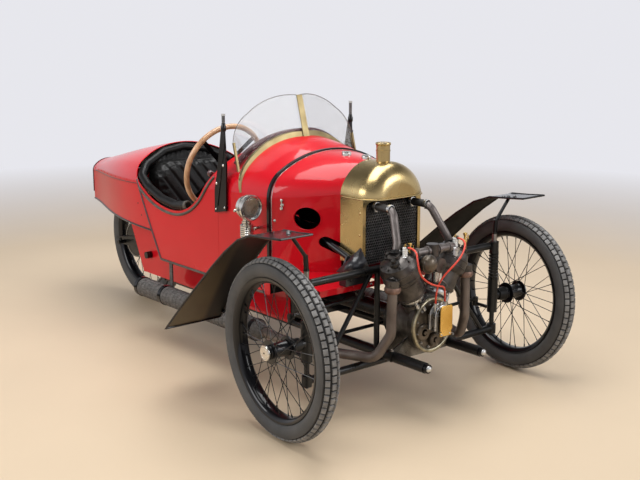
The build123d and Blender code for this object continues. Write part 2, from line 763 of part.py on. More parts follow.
# ---------------------------------------------------------------- bonnet, scuttle and body
with BuildPart() as bonnet:
    body_loft(bonnet_sections, bonnet_bottom_z)
    with BuildPart(mode=Mode.PRIVATE) as bonnet_room:
        body_loft(bonnet_sections, bonnet_bottom_z - 10, inset=skin, front=2, back=-2)
    add(bonnet_room.part, mode=Mode.SUBTRACT)
    rod((front_axle_x - 326, -400, 704), (front_axle_x - 326, 400, 704), 44, mode=Mode.SUBTRACT)
    with BuildSketch(Plane.XZ.offset(60)) as slot:
        with Locations(Location((783, 600, 0), (0, 0, -30))):
            SlotOverall(96, 44)
    extrude(slot.sketch, amount=300, mode=Mode.SUBTRACT)
keep(bonnet, "bonnet")

with BuildPart() as body_form:
    body_loft(body_sections, body_bottom_z)
    tail_face = body_form.part.faces().sort_by(Axis.X)[0]
    fillet(tail_face.edges().filter_by(lambda e: e.center().Z > body_bottom_z + 5), tail_fillet)

with BuildPart() as body_room:
    body_loft(body_sections, body_bottom_z - 10, inset=skin, front=2, back=skin)
    tail_face = body_room.part.faces().sort_by(Axis.X)[0]
    fillet(tail_face.edges().filter_by(lambda e: e.center().Z > body_bottom_z + 5), tail_fillet - skin)

with BuildPart() as body_skin:
    add(body_form.part)
    add(body_room.part, mode=Mode.SUBTRACT)

# The cockpit's opening in side view, from the tail's front edge down round the rim and up over the scuttle
rim_low = (-138, 632)
rim_back = (-481, 741)
tail_front_top = (-573, 884)
rim_front = (102, 744)
rim_rise = (227, 895)
scuttle_top = (382, 1005)
scuttle_seam_x = 227
seam_front_z = 711
strip_lean = 0.64
seam_back_z = 662


def cockpit_opening(mode):
    with BuildSketch(Plane.XZ) as opening:
        with BuildLine():
            TangentArc(rim_low, rim_back, tangent=(-1, 0))
            TangentArc(rim_low, rim_front, tangent=(1, 0))
            Polyline(
                rim_front, rim_rise, scuttle_top, (scuttle_top[0], 1200), (tail_front_top[0], 1200),
                tail_front_top, rim_back,
            )
        make_face()
    extrude(opening.sketch, amount=450, both=True, mode=mode)


def strip_x(z):
    """The slanted joint between the cockpit side and the tail."""
    return rim_back[0] + (rim_back[1] - z) * strip_lean


with BuildPart() as scuttle:
    add(body_skin.part)
    scuttle_bottom_z = body_bottom_z - 5
    side_cut(
        [(scuttle_seam_x, scuttle_bottom_z), (600, scuttle_bottom_z), (600, 1200), (scuttle_seam_x, 1200)],
        Mode.INTERSECT,
    )
    cockpit_opening(Mode.SUBTRACT)
keep(scuttle, "scuttle")

for name, side in sides:
    with BuildPart() as cockpit_side:
        add(body_skin.part)
        side_cut(
            [
                (scuttle_seam_x - panel_gap, body_bottom_z - 5), (scuttle_seam_x - panel_gap, 1000),
                (rim_back[0], 1000), rim_back, (strip_x(body_bottom_z - 5), body_bottom_z - 5),
            ],
            Mode.INTERSECT,
        )
        cockpit_opening(Mode.SUBTRACT)
        block((-700, min(-side, -side * 450), 300), (700, max(-side, -side * 450), 1200), mode=Mode.SUBTRACT)
    keep(cockpit_side, f"cockpit_side_{name}")

with BuildPart() as tail_deck:
    add(body_skin.part)
    side_cut(
        [
            (strip_x(seam_front_z) - panel_gap, seam_front_z), (rim_back[0] - panel_gap, rim_back[1]),
            (tail_front_top[0] - panel_gap, tail_front_top[1]), (tail_front_top[0] - panel_gap, 1200),
            (-1500, 1200), (tail_end_x - 5, seam_back_z),
        ],
        Mode.INTERSECT,
    )
keep(tail_deck, "tail_deck")

with BuildPart() as tail_skirt:
    add(body_skin.part)
    side_cut(
        [
            (strip_x(seam_front_z - 1) - panel_gap, seam_front_z - 1),
            (strip_x(tail_bottom_z) - panel_gap, tail_bottom_z),
            (tail_end_x - 5, tail_bottom_z), (tail_end_x - 5, seam_back_z - 1),
        ],
        Mode.INTERSECT,
    )
keep(tail_skirt, "tail_skirt")

with BuildPart() as bonnet_form:
    body_loft(bonnet_sections, bonnet_bottom_z - 5)

with BuildPart() as bonnet_caps:
    for x, y, level in ((front_axle_x - 339, -20, 936), (front_axle_x - 249, 6, 928)):
        turned(Plane.XY.move(Location((x, y, level))), [(0, -20), (20, -20), (20, 8), (17, 14), (0, 16)])
    add(bonnet_form.part, mode=Mode.SUBTRACT)
keep(bonnet_caps, "bonnet_caps")

with BuildPart() as scuttle_bead:
    extrude(arch(bead_x - 7, 327, 770, 952, 127, 500), amount=14)
    add(body_form.part, mode=Mode.SUBTRACT)
    add(bonnet_form.part, mode=Mode.SUBTRACT)
keep(scuttle_bead, "scuttle_bead")

valance_y = 200
valance_bottom_z = 236
valance_flange_x = -250
firewall_x = bead_x - 18
seat_floor_z = tail_bottom_z + 10
for name, side in sides:
    inner, outer = sorted((side * valance_y, side * 400))
    with BuildPart() as valance:
        add(body_room.part)
        flange_low = (valance_flange_x, inner, body_bottom_z + 1)
        block(flange_low, (firewall_x - 0.2, outer, body_bottom_z + 4), mode=Mode.INTERSECT)
        prism(
            Plane.XZ.offset(-side * valance_y - (skin if side > 0 else 0)),
            [
                (firewall_x - 0.2, valance_bottom_z), (firewall_x - 0.2, body_bottom_z + 12),
                (valance_flange_x, body_bottom_z + 12), (-330, seat_floor_z), (-780, seat_floor_z),
                (-770, tail_bottom_z - 2), (-640, valance_bottom_z),
            ],
            skin,
        )
        rod(
            (countershaft_x, side * 150, drive_z), (countershaft_x, side * 300, drive_z),
            countershaft_radius + 0.3, mode=Mode.SUBTRACT,
        )
    keep(valance, f"valance_{name}")

floor_z = lower_tube_z + lower_tube_radius + 0.1
floor_thickness = 12
floor_back_x = -400
seat_back_x = -393
seat_front_x = 27
seat_board_z = 392
with BuildPart() as floor_boards:
    floor_half = valance_y - 0.3
    block((floor_back_x, -floor_half, floor_z), (firewall_x - 0.2, floor_half, floor_z + floor_thickness))
    seat_base_z = seat_board_z - floor_thickness
    block((seat_back_x, -floor_half, seat_base_z), (seat_front_x, floor_half, seat_board_z))
    for name, side in sides:
        inner, outer = sorted((side * (drive_tube_radius + 4), side * floor_half))
        block((seat_front_x - floor_thickness, inner, floor_z), (seat_front_x, outer, seat_board_z))
keep(floor_boards, "floor_boards")

with BuildPart() as firewall:
    add(body_room.part)
    block((firewall_x, -400, body_bottom_z + 1), (firewall_x + 5, 400, 1000), mode=Mode.INTERSECT)
    block((firewall_x, -valance_y, floor_z), (firewall_x + 5, valance_y, body_bottom_z + 2))
    tube_hole = drive_tube_radius + 3
    rod((firewall_x - 40, 0, drive_z), (firewall_x + 40, 0, drive_z), tube_hole, mode=Mode.SUBTRACT)
    rod(
        tuple(wheel_centre - column_axis * 400), tuple(wheel_centre - column_axis * 700),
        column_radius + 5, mode=Mode.SUBTRACT,
    )
keep(firewall, "firewall")

with BuildPart() as dashboard:
    add(body_room.part)
    block((300, -400, 740), (309, 400, 1000), mode=Mode.INTERSECT)
    rod(
        tuple(wheel_centre - column_axis * 150), tuple(wheel_centre - column_axis * 400),
        column_radius + 5, mode=Mode.SUBTRACT,
    )
keep(dashboard, "dashboard")

tray_front_x = radiator_front_x - 5
tray_thickness = 4
with BuildPart() as front_tray:
    prism(
        Plane.XY.offset(bonnet_bottom_z - tray_thickness - 0.2),
        [(bead_x + 0.3, -320), (tray_front_x, -400), (tray_front_x, 400), (bead_x + 0.3, 320)],
        tray_thickness,
    )
    block((tray_front_x - 3, -400, bonnet_bottom_z - 24), (tray_front_x, 400, bonnet_bottom_z - 2))
    slot_y = steering_wheel_y
    block(
        (922, slot_y - 62, bonnet_bottom_z - 40), (tray_front_x + 5, slot_y + 62, bonnet_bottom_z + 10),
        mode=Mode.SUBTRACT,
    )
    bearing = wheel_centre - column_axis * 885
    with BuildSketch(Plane.YZ.offset(bearing.X - 4)) as bracket:
        with BuildLine():
            Polyline(
                (slot_y - 60, bonnet_bottom_z - 2), (slot_y + 60, bonnet_bottom_z - 2),
                (slot_y + 60, bonnet_bottom_z + 8), (-radiator_half - 1, radiator_bottom_z - 2),
                (-radiator_half - 1, bearing.Z + 14), (slot_y - 22, bearing.Z + 14), close=True,
            )
        make_face()
    extrude(bracket.sketch, amount=8)
    rod(
        tuple(bearing + column_axis * 30), tuple(bearing - column_axis * 30),
        column_radius + running_clearance, mode=Mode.SUBTRACT,
    )
keep(front_tray, "front_tray")

# ---------------------------------------------------------------- seat and trim of the cockpit
with BuildPart() as seat_cushion:
    block((seat_back_x, -194, seat_board_z + 0.3), (seat_front_x, 194, seat_board_z + 108))
    fillet(seat_cushion.part.edges().filter_by(Axis.Z), 40)
    fillet(seat_cushion.part.faces().sort_by(Axis.Z)[-1].edges(), 20)
keep(seat_cushion, "seat_cushion")

roll_radius = 20
roll_points = [
    (-46, -306, 664), (-150, -304, 650), (-280, -301, 664), (-400, -298, 704), (-478, -288, 748),
    (-526, -236, 790), (-558, -118, 842), (-570, 0, 858),
]
with BuildPart() as coaming_roll:
    whole = roll_points + [(x, -y, z) for x, y, z in reversed(roll_points[:-1])]
    with BuildLine() as roll_route:
        FilletPolyline(*whole, radius=[150, 150, 150, 60, 50, 60, 60, 60, 50, 60, 150, 150, 150])
    with BuildSketch(Plane(origin=roll_route.line @ 0, z_dir=roll_route.line % 0)) as roll_section:
        Circle(roll_radius)
    sweep(roll_section.sketch, path=roll_route.wire())
keep(coaming_roll, "coaming_roll")

squab_half = 235
squab_top_z = 815
squab_back_x = -545
with BuildPart() as seat_back:
    with BuildSketch(Plane.YZ.offset(squab_back_x)) as squab:
        with BuildLine():
            foot_z = seat_floor_z + 0.3
            Polyline(
                (-squab_half, foot_z), (squab_half, foot_z), (squab_half, squab_top_z),
                (-squab_half, squab_top_z), close=True,
            )
        make_face()
        fillet(squab.vertices().group_by(Axis.Y)[-1], 100)
    extrude(squab.sketch, amount=160)
    side_cut(
        [
            (squab_back_x, foot_z - 20), (squab_back_x + 145, foot_z - 20),
            (squab_back_x + 75, squab_top_z + 90), (squab_back_x, squab_top_z + 90),
        ],
        Mode.INTERSECT,
    )
    add(coaming_roll.part, mode=Mode.SUBTRACT)
keep(seat_back, "seat_back")

# ---------------------------------------------------------------- windscreen, lamps and wings
screen_x = 402
screen_half = 305
screen_sweep = 67
screen_base_z = 990
screen_rake = 15.5
glass_thickness = 5
strip_height = 20
screen_top = [(0, 1157), (150, 1140), (240, 1090), (300, 1035), (325, 975)]
panes = []
for name, side in sides:
    along = Vector(-screen_sweep, side * screen_half, 0).normalized()
    up = Vector(-sin(radians(screen_rake)), 0, cos(radians(screen_rake)))
    panes.append((side, Plane(origin=(screen_x, 0, screen_base_z), x_dir=along, z_dir=along.cross(up))))


def on_screen(side, plane, y, z):
    """The plane's own coordinates of the screen at a distance from the middle and a height."""
    x = screen_x - screen_sweep * y / screen_half - (z - screen_base_z) * tan(radians(screen_rake))
    local = plane.to_local_coords(Vector(x, side * y, z))
    return (local.X, local.Y)


with BuildPart() as windscreen_glass:
    for side, plane in panes:
        top = [on_screen(side, plane, max(y, 4), z) for y, z in screen_top]
        with BuildSketch(plane) as pane:
            with BuildLine():
                ThreePointArc(top[0], top[1], top[2])
                ThreePointArc(top[2], top[3], top[4])
                Polyline(top[4], on_screen(side, plane, 325, 800), on_screen(side, plane, 4, 800), top[0])
            make_face()
        extrude(pane.sketch, amount=glass_thickness / 2, both=True)
    add(body_form.part.moved(Location((0, 0, 8))), mode=Mode.SUBTRACT)
keep(windscreen_glass, "windscreen_glass")

with BuildPart() as windscreen_frame:
    with BuildPart(mode=Mode.PRIVATE) as raised_form:
        add(body_form.part.moved(Location((0, 0, strip_height))))
        block((180, -330, 700), (520, 330, 1100), mode=Mode.INTERSECT)
    for side, plane in panes:
        with BuildSketch(plane) as plate:
            with Locations((-4, -220)):
                Rectangle(340, 300, align=(Align.MIN, Align.MIN))
        extrude(plate.sketch, amount=7, both=True)
    add(raised_form.part, mode=Mode.INTERSECT)
    for side, plane in panes:
        edge = [on_screen(side, plane, y, z) for y, z in ((326, 975), (326, 860), (318, 860), (318, 975))]
        prism(plane.offset(-6), edge, 12)
    pillar_top = Vector(screen_x - (1157 - screen_base_z) * tan(radians(screen_rake)), 0, 1157)
    rod((screen_x + 6, 0, screen_base_z - 22), tuple(pillar_top), 9)
    add(body_form.part, mode=Mode.SUBTRACT)
    add(windscreen_glass.part, mode=Mode.SUBTRACT)
keep(windscreen_frame, "windscreen_frame")

stanchion_y = 337
stanchion_plate = 7
stanchion_outline = [
    (-74, 674), (10, 690), (12, 782), (16, 880), (8, 990), (6, 1028), (4, 1036), (-8, 1036), (-16, 1028),
    (-24, 985), (-50, 850), (-72, 770),
]
with BuildPart() as screen_brackets:
    for side, x, post_top in ((-1, 293, 1088), (1, 308, 1110)):
        inner_y = side * stanchion_y
        prism(
            Plane.XZ.offset(-inner_y - (stanchion_plate if side > 0 else 0)),
            [(x + along, level) for along, level in stanchion_outline],
            stanchion_plate,
        )
        middle_y = inner_y + side * stanchion_plate / 2
        rod((x - 2, middle_y, 1020), (x - 2, middle_y, post_top), 7)
        for along, level in ((-62, 690), (2, 704)):
            rod((x + along, side * 322, level), (x + along, inner_y + side * (stanchion_plate + 3), level), 6)
    add(body_form.part, mode=Mode.SUBTRACT)
keep(screen_brackets, "screen_brackets")

lamp_x = 532
lamp_y = 400
lamp_z = 745
lamp_radius = 50
with BuildPart() as side_lamps:
    for name, side in sides:
        turned(
            Plane(origin=(lamp_x, side * lamp_y, lamp_z), x_dir=(0, 1, 0), z_dir=(1, 0, 0)),
            [
                (0, -42), (20, -40), (44, -18), (lamp_radius, 16), (lamp_radius, 26), (44, 28), (44, 22),
                (0, 22),
            ],
        )
        turned(
            Plane.XY.move(Location((lamp_x - 6, side * lamp_y, lamp_z))),
            [(0, -125), (22, -125), (26, -118), (26, -70), (16, -62), (16, -40), (0, -40)],
        )
        rod((lamp_x - 6, side * 300, lamp_z - 90), (lamp_x - 6, side * (lamp_y - 10), lamp_z - 90), 7)
    add(body_form.part, mode=Mode.SUBTRACT)
keep(side_lamps, "side_lamps")

wing_outer_y = 700
wing_inner_front_y = 555
wing_inner_back_y = 430
wing_front_x = front_axle_x + 100
wing_thickness = 3
wing_profile = [
    (100, 752), (20, 745), (-70, 740), (-145, 712), (-227, 655), (-305, 590), (-410, 495), (-520, 395),
    (-650, 270),
]
wings = []
for name, side in sides:
    with BuildPart() as wing:
        with BuildSketch(Plane.XZ.offset(-side * (wing_outer_y + wing_inner_back_y) / 2)) as wing_section:
            with BuildLine():
                upper = [(front_axle_x + x, z) for x, z in wing_profile]
                lower = [(x - 1.5, z - wing_thickness) for x, z in reversed(upper)]
                Polyline(*upper, *lower, close=True)
            make_face()
        extrude(wing_section.sketch, amount=(wing_outer_y - wing_inner_back_y) / 2, both=True)
        prism(
            Plane.XY.offset(200),
            [
                (wing_front_x + 5, side * 300), (wing_front_x + 5, side * wing_inner_front_y),
                (front_axle_x - 20, side * wing_inner_front_y),
                (front_axle_x - 655, side * wing_inner_back_y), (front_axle_x - 655, side * 300),
            ],
            700, mode=Mode.SUBTRACT,
        )
    keep(wing, f"wing_{name}")
    wings.append(wing.part)

with BuildPart() as wing_stays:
    for name, side in sides:
        pin_y, stay_y = side * kingpin_y, side * (kingpin_y + 4)
        rod((front_axle_x, pin_y, kingpin_top_z + 0.8), (front_axle_x, stay_y, 655), 9)
        rod((front_axle_x, stay_y, 650), (front_axle_x + 6, side * 585, 744), 7)
        rod((420, side * 322, 388), (420, side * 452, 300), 7)
    for form in (body_form.part, *wings):
        add(form, mode=Mode.SUBTRACT)
keep(wing_stays, "wing_stays")
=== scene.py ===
import json
import math

import bmesh
import bpy
from mathutils import Matrix, Vector
from mathutils.bvhtree import BVHTree


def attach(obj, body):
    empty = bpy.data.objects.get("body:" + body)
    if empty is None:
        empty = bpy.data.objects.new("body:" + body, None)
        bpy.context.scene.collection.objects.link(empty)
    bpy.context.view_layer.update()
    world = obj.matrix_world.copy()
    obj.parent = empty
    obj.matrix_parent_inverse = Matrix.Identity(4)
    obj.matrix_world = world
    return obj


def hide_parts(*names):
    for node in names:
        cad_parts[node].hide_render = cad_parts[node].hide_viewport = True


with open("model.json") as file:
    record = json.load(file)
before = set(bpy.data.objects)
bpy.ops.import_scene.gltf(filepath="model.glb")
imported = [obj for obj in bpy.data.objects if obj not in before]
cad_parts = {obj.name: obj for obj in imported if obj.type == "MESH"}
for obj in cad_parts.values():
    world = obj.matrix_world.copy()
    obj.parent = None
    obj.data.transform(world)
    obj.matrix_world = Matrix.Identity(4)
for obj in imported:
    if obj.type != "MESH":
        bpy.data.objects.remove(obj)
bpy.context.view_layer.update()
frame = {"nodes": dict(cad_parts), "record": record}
sides = {"right": -1, "left": 1}
leftward = Vector((0, 1, 0))
forward = Vector((1, 0, 0))
upward = Vector((0, 0, 1))


# A new node, whose inputs take plain values, sockets or fields.
def addNode(tree, kind, inputs, **settings):
    node = tree.nodes.new(kind)
    for label, value in settings.items():
        setattr(node, label, value)
    for label, value in inputs.items():
        value = getattr(value, "socket", value)
        if isinstance(value, bpy.types.NodeSocket):
            tree.links.new(value, node.inputs[label])
        else:
            node.inputs[label].default_value = value
    return node


# Shader maths: a socket that can be added, multiplied and mixed like a number.
class Field:
    def __init__(self, tree, socket):
        self.tree = tree
        self.socket = socket

    def through(self, kind, inputs, output=0, **settings):
        return Field(self.tree, addNode(self.tree, kind, inputs, **settings).outputs[output])

    def maths(self, operation, *others):
        return self.through("ShaderNodeMath", dict(enumerate((self, *others))), operation=operation)

    def __add__(self, other):
        return self.maths("ADD", other)

    def __mul__(self, other):
        return self.maths("MULTIPLY", other)

    def between(self, low, high):
        ends = {"Value": self, "From Min": low, "From Max": high}
        return self.through("ShaderNodeMapRange", ends, "Result")

    def colours(self, dark, light):
        ends = {"Factor": self, "A": (*dark, 1), "B": (*light, 1)}
        return self.through("ShaderNodeMix", ends, "Result", data_type="RGBA")


# One procedural material on Blender's Principled shader.
class Finish:
    def __init__(self, name, colour, roughness=0.4, metallic=0.0, coat=0.0, **constants):
        self.material = bpy.data.materials.new(name)
        self.material.use_nodes = True
        self.tree = self.material.node_tree
        self.shader = self.tree.nodes["Principled BSDF"]
        plain = {
            "Base Color": (*colour, 1), "Roughness": roughness, "Metallic": metallic, "Coat Weight": coat,
            "Coat Roughness": 0.06,
        }
        for socket, value in {**plain, **constants}.items():
            self.shader.inputs[socket.replace("_", " ")].default_value = value
        self.place = self.tree.nodes.new("ShaderNodeTexCoord").outputs["Object"]

    def noise(self, scale, detail=3.0, stretch=(1, 1, 1)):
        mapping = addNode(self.tree, "ShaderNodeMapping", {"Vector": self.place, "Scale": stretch})
        inputs = {"Vector": mapping.outputs["Vector"], "Scale": scale, "Detail": detail}
        return Field(self.tree, addNode(self.tree, "ShaderNodeTexNoise", inputs).outputs["Fac"])

    def set(self, socket, field):
        self.tree.links.new(field.socket, self.shader.inputs[socket])


# A finish from its plain values, with what mottles its colour, its gloss and its surface. Each noise is
# (scale, detail, stretch).
def finishFrom(name, colour, roughness, mottle=None, gloss=None, relief=None, **constants):
    finish = Finish(name, colour, roughness, **constants)
    if mottle:
        noise, low, high, dark, light = mottle
        finish.set("Base Color", finish.noise(*noise).between(low, high).colours(dark, light))
    if gloss:
        noise, high, reach, least = gloss
        finish.set("Roughness", finish.noise(*noise).between(0.3, high) * reach + least)
    if relief:
        noise, strength, depth = relief
        height = {"Height": finish.noise(*noise), "Strength": strength, "Distance": depth}
        bump = addNode(finish.tree, "ShaderNodeBump", height)
        finish.set("Normal", Field(finish.tree, bump.outputs["Normal"]))
    return finish.material


# Finishes of the CAD's material slots
slotLooks = {
    "red_paint": dict(
        name="redPaint", colour=(0.56, 0.004, 0.012), roughness=0.34, coat=0.6, Specular_IOR_Level=0.1,
        mottle=((3.0,), 0.3, 0.7, (0.52, 0.003, 0.010), (0.60, 0.005, 0.014)),
        relief=((260, 1.0), 0.03, 0.0006),
    ),
    "black_paint": dict(
        name="blackEnamel", colour=(0.003, 0.003, 0.004), roughness=0.3, coat=0.55, Specular_IOR_Level=0.1,
        relief=((140, 2.0), 0.05, 0.0008),
    ),
    "frame_black": dict(
        name="frameBlack", colour=(0.005, 0.005, 0.005), roughness=0.4, Specular_IOR_Level=0.4,
        gloss=((22, 4.0), 0.7, 0.2, 0.24), relief=((90, 3.0), 0.12, 0.001),
    ),
    "polished_brass": dict(
        name="brass", colour=(0.56, 0.42, 0.19), roughness=0.24, metallic=1.0,
        mottle=((5, 3.0), 0.3, 0.7, (0.42, 0.31, 0.14), (0.60, 0.46, 0.22)),
        gloss=((12, 3.0), 0.75, 0.12, 0.20),
    ),
    "nickel": dict(
        name="nickel", colour=(0.66, 0.64, 0.60), roughness=0.2, metallic=1.0,
        gloss=((45, 4.0), 0.7, 0.15, 0.14),
    ),
    "engine_iron": dict(
        name="engineIron", colour=(0.07, 0.066, 0.063), roughness=0.4, metallic=0.8,
        mottle=((24, 4.0), 0.3, 0.7, (0.034, 0.031, 0.030), (0.125, 0.112, 0.103)),
        gloss=((30, 3.0), 0.7, 0.2, 0.24), relief=((240, 3.0), 0.15, 0.001),
    ),
    "crankcase_metal": dict(
        name="castAlloy", colour=(0.16, 0.15, 0.14), roughness=0.5, metallic=0.8,
        mottle=((22, 4.0), 0.33, 0.7, (0.06, 0.053, 0.045), (0.24, 0.225, 0.205)),
        gloss=((40, 3.0), 0.7, 0.2, 0.34), relief=((280, 3.0), 0.14, 0.001),
    ),
    "hot_pipe": dict(
        name="brownPipe", colour=(0.16, 0.13, 0.115), roughness=0.45, metallic=0.65,
        mottle=((9, 4.0), 0.3, 0.7, (0.105, 0.082, 0.070), (0.22, 0.185, 0.165)),
        gloss=((40, 4.0), 0.7, 0.2, 0.34), relief=((200, 3.0), 0.1, 0.001),
    ),
    "steel": dict(
        name="steel", colour=(0.34, 0.33, 0.32), roughness=0.35, metallic=1.0,
        gloss=((60, 4.0), 0.7, 0.25, 0.25),
    ),
    "hose_rubber": dict(
        name="hoseRubber", colour=(0.075, 0.062, 0.052), roughness=0.62, relief=((420, 2.0), 0.25, 0.0008),
    ),
    "lead_rubber": dict(
        name="leadRubber", colour=(0.72, 0.06, 0.03), roughness=0.38,
        mottle=((30, 2.0), 0.3, 0.7, (0.64, 0.045, 0.022), (0.78, 0.075, 0.040)),
    ),
    "tyre_rubber": dict(
        name="tyreRubber", colour=(0.06, 0.06, 0.06), roughness=0.74,
        mottle=((9, 3.0), 0.3, 0.7, (0.046, 0.046, 0.047), (0.080, 0.078, 0.076)),
        relief=((500, 2.0), 0.15, 0.0008),
    ),
    "black_leather": dict(
        name="blackLeather", colour=(0.005, 0.0047, 0.0045), roughness=0.34, Specular_IOR_Level=0.28,
        gloss=((70, 4.0), 0.7, 0.2, 0.26), relief=((600, 3.0), 0.22, 0.0009),
    ),
    "varnished_wood": dict(
        name="varnishedWood", colour=(0.40, 0.22, 0.10), roughness=0.3, coat=0.5,
        mottle=((16, 6.0, (5, 1, 1)), 0.35, 0.68, (0.42, 0.22, 0.11), (0.64, 0.39, 0.22)),
        relief=((120, 3.0, (6, 1, 1)), 0.08, 0.0006),
    ),
    "floor_wood": dict(
        name="oiledBoards", colour=(0.10, 0.06, 0.035), roughness=0.6,
        mottle=((9, 6.0, (1, 9, 1)), 0.35, 0.68, (0.05, 0.03, 0.018), (0.16, 0.10, 0.06)),
    ),
    "screen_glass": dict(
        name="plateGlass", colour=(0.93, 0.96, 0.95), roughness=0.02, IOR=1.45, Transmission_Weight=1.0,
        Alpha=0.2,
    ),
    "silencer_wrap": dict(
        name="silencerWrap", colour=(0.09, 0.085, 0.08), roughness=0.85,
        mottle=((40, 4.0, (1, 4, 4)), 0.3, 0.7, (0.052, 0.048, 0.045), (0.130, 0.122, 0.115)),
        relief=((120, 3.0, (1, 3, 3)), 0.4, 0.002),
    ),
}
finishes = {slot: finishFrom(**look) for slot, look in slotLooks.items()}


# A finish that mottles between two colours, with some unevenness in its gloss.
def mottled(name, dark, light, scale, roughness, metallic=0.0, coat=0.0, bump=0.0):
    return finishFrom(
        name, light, roughness, metallic=metallic, coat=coat,
        mottle=((scale, 5.0), 0.35, 0.68, dark, light),
        gloss=((scale * 2, 4.0), 0.7, 0.16, roughness - 0.08),
        relief=((scale * 9, 2.0), bump, 0.0008) if bump else None,
    )


# Finishes of small trim: dark and light colour, scale, roughness, then metallic, coat and bump
trims = {
    "maroon": ((0.045, 0.004, 0.007), (0.075, 0.007, 0.011), 9, 0.42, 0.0, 0.3),
    "beading": ((0.055, 0.048, 0.038), (0.10, 0.09, 0.075), 30, 0.5),
    "treadTops": ((0.15, 0.147, 0.144), (0.27, 0.265, 0.26), 40, 0.8, 0.0, 0.0, 0.2),
    # Near black rubber, as painted shade in the tread's grooves
    "treadGapShade": ((0.012, 0.012, 0.012), (0.026, 0.025, 0.025), 12, 0.9),
    "porcelain": ((0.72, 0.71, 0.67), (0.86, 0.86, 0.83), 40, 0.22, 0.0, 0.6),
    "hoseBlack": ((0.012, 0.0115, 0.011), (0.030, 0.028, 0.027), 30, 0.5, 0.0, 0.0, 0.15),
    "metalPipe": ((0.115, 0.098, 0.092), (0.20, 0.175, 0.165), 20, 0.4, 0.6, 0.0, 0.06),
    "agedBrass": ((0.30, 0.235, 0.115), (0.45, 0.36, 0.19), 26, 0.42, 1.0),
    "wornAlloy": ((0.20, 0.18, 0.13), (0.46, 0.42, 0.30), 34, 0.34, 1.0),
    "brightAlloy": ((0.42, 0.42, 0.42), (0.66, 0.66, 0.65), 30, 0.3, 1.0),
    "darkIron": ((0.008, 0.0075, 0.007), (0.032, 0.028, 0.025), 26, 0.42, 0.4, 0.0, 0.2),
    "oilyBrown": ((0.03, 0.023, 0.015), (0.13, 0.10, 0.07), 22, 0.36, 0.6, 0.3, 0.2),
    "rustBrass": ((0.13, 0.075, 0.055), (0.26, 0.16, 0.12), 40, 0.45, 0.6),
    "coreMetal": ((0.045, 0.045, 0.045), (0.12, 0.115, 0.11), 30, 0.42, 0.5),
    "fittingBrass": ((0.50, 0.34, 0.10), (0.80, 0.60, 0.26), 60, 0.22, 1.0),
    "magnetoBrass": ((0.52, 0.30, 0.06), (0.80, 0.52, 0.15), 9, 0.26, 1.0),
    "lampLens": ((0.20, 0.21, 0.225), (0.46, 0.48, 0.50), 30, 0.14, 0.9, 0.6),
    "gaiterLeather": ((0.008, 0.008, 0.010), (0.02, 0.02, 0.024), 25, 0.34, 0.0, 0.4, 0.1),
    "postGrey": ((0.10, 0.10, 0.10), (0.19, 0.19, 0.19), 40, 0.45, 0.6),
    "redKnob": ((0.05, 0.004, 0.005), (0.10, 0.008, 0.010), 30, 0.25, 0.0, 0.8),
    # Near black, as painted shade inside the bonnet
    "paintedShadeInside": ((0.006, 0.006, 0.006), (0.016, 0.015, 0.014), 12, 0.8),
}
finishes.update({name: mottled(name, *values) for name, values in trims.items()})
finishes["wingShade"] = finishFrom(
    "wingShade", (0.006, 0.006, 0.006), 0.75, Specular_IOR_Level=0.08,
    mottle=((12,), 0.3, 0.7, (0.003, 0.003, 0.003), (0.010, 0.009, 0.008)),
)


# The near wing's underside: brown metal that stands in for the floor's reflection in its black paint (painted
# reflection), in random patches, and near black along the inner edge as painted shade, in a band that widens
# to the front.
def wingUnderside():
    finish = Finish("wingUnder", (0.11, 0.09, 0.05), 0.34, metallic=1.0)
    spot = addNode(finish.tree, "ShaderNodeSeparateXYZ", {"Vector": finish.place})
    x, y = (Field(finish.tree, spot.outputs[axis]) for axis in "XY")
    fromEdge = y.maths("ABSOLUTE") + x * -0.31 + -0.317
    patchy = finish.noise(3.0).between(0.3, 0.7) * 0.35 + 0.65
    # Painted reflection in brown, going over to painted shade in the band along the inner edge
    paintedReflectionAndShade = (patchy * fromEdge.between(0.070, 0.095)).colours((0.010, 0.009, 0.007), (0.130, 0.098, 0.050))
    finish.set("Base Color", paintedReflectionAndShade)
    return finish.material


finishes["wingUnder"] = wingUnderside()
print("materials made")

slotOf = {part["node"]: part["material_slot"] for part in frame["record"]["subparts"]}
bodyOf = {node: body for body, nodes in frame["record"]["behaviour"]["bodies"].items() for node in nodes}


def added(name, data):
    item = bpy.data.objects.new(name, data)
    bpy.context.scene.collection.objects.link(item)
    return item


def smoothShaded(mesh, sharpAngle):
    mesh.polygons.foreach_set("use_smooth", [True] * len(mesh.polygons))
    mesh.set_sharp_from_angle(angle=math.radians(sharpAngle))


def painted(mesh, finish):
    mesh.materials.clear()
    mesh.materials.append(finishes[finish])


# The mesh that an object's modifiers or curve give.
def evaluated(item):
    graph = bpy.context.evaluated_depsgraph_get()
    return bpy.data.meshes.new_from_object(item.evaluated_get(graph), depsgraph=graph)


# A CAD node's mesh with its corners joined, and its corners moved where asked.
def mergedMesh(node, reach, move=None):
    mesh = frame["nodes"][node].data.copy()
    if "custom_normal" in mesh.attributes:
        mesh.attributes.remove(mesh.attributes["custom_normal"])
    work = bmesh.new()
    work.from_mesh(mesh)
    bmesh.ops.remove_doubles(work, verts=work.verts, dist=reach)
    if move:
        move(work.verts)
    work.to_mesh(mesh)
    work.free()
    return mesh


# A merged, smooth shaded copy of a CAD node that stands for it.
def smoothed(node):
    mesh = mergedMesh(node, 2e-5)
    smoothShaded(mesh, 34)
    painted(mesh, slotOf[node])
    piece = added(node + "Skin", mesh)
    piece.modifiers.new("weighted", "WEIGHTED_NORMAL").keep_sharp = True
    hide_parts(node)
    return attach(piece, bodyOf[node])


remade = {
    "plug_lead_right", "plug_lead_left", "front_right_tyre", "front_left_tyre", "rear_tyre",
    "front_right_wheel", "front_left_wheel", "rear_wheel", "rear_hub", "drive_chains", "seat_cushion",
    "seat_back", "coaming_roll",
}
skins = {node: smoothed(node) for node in frame["nodes"] if node not in remade}
print("nodes smoothed")


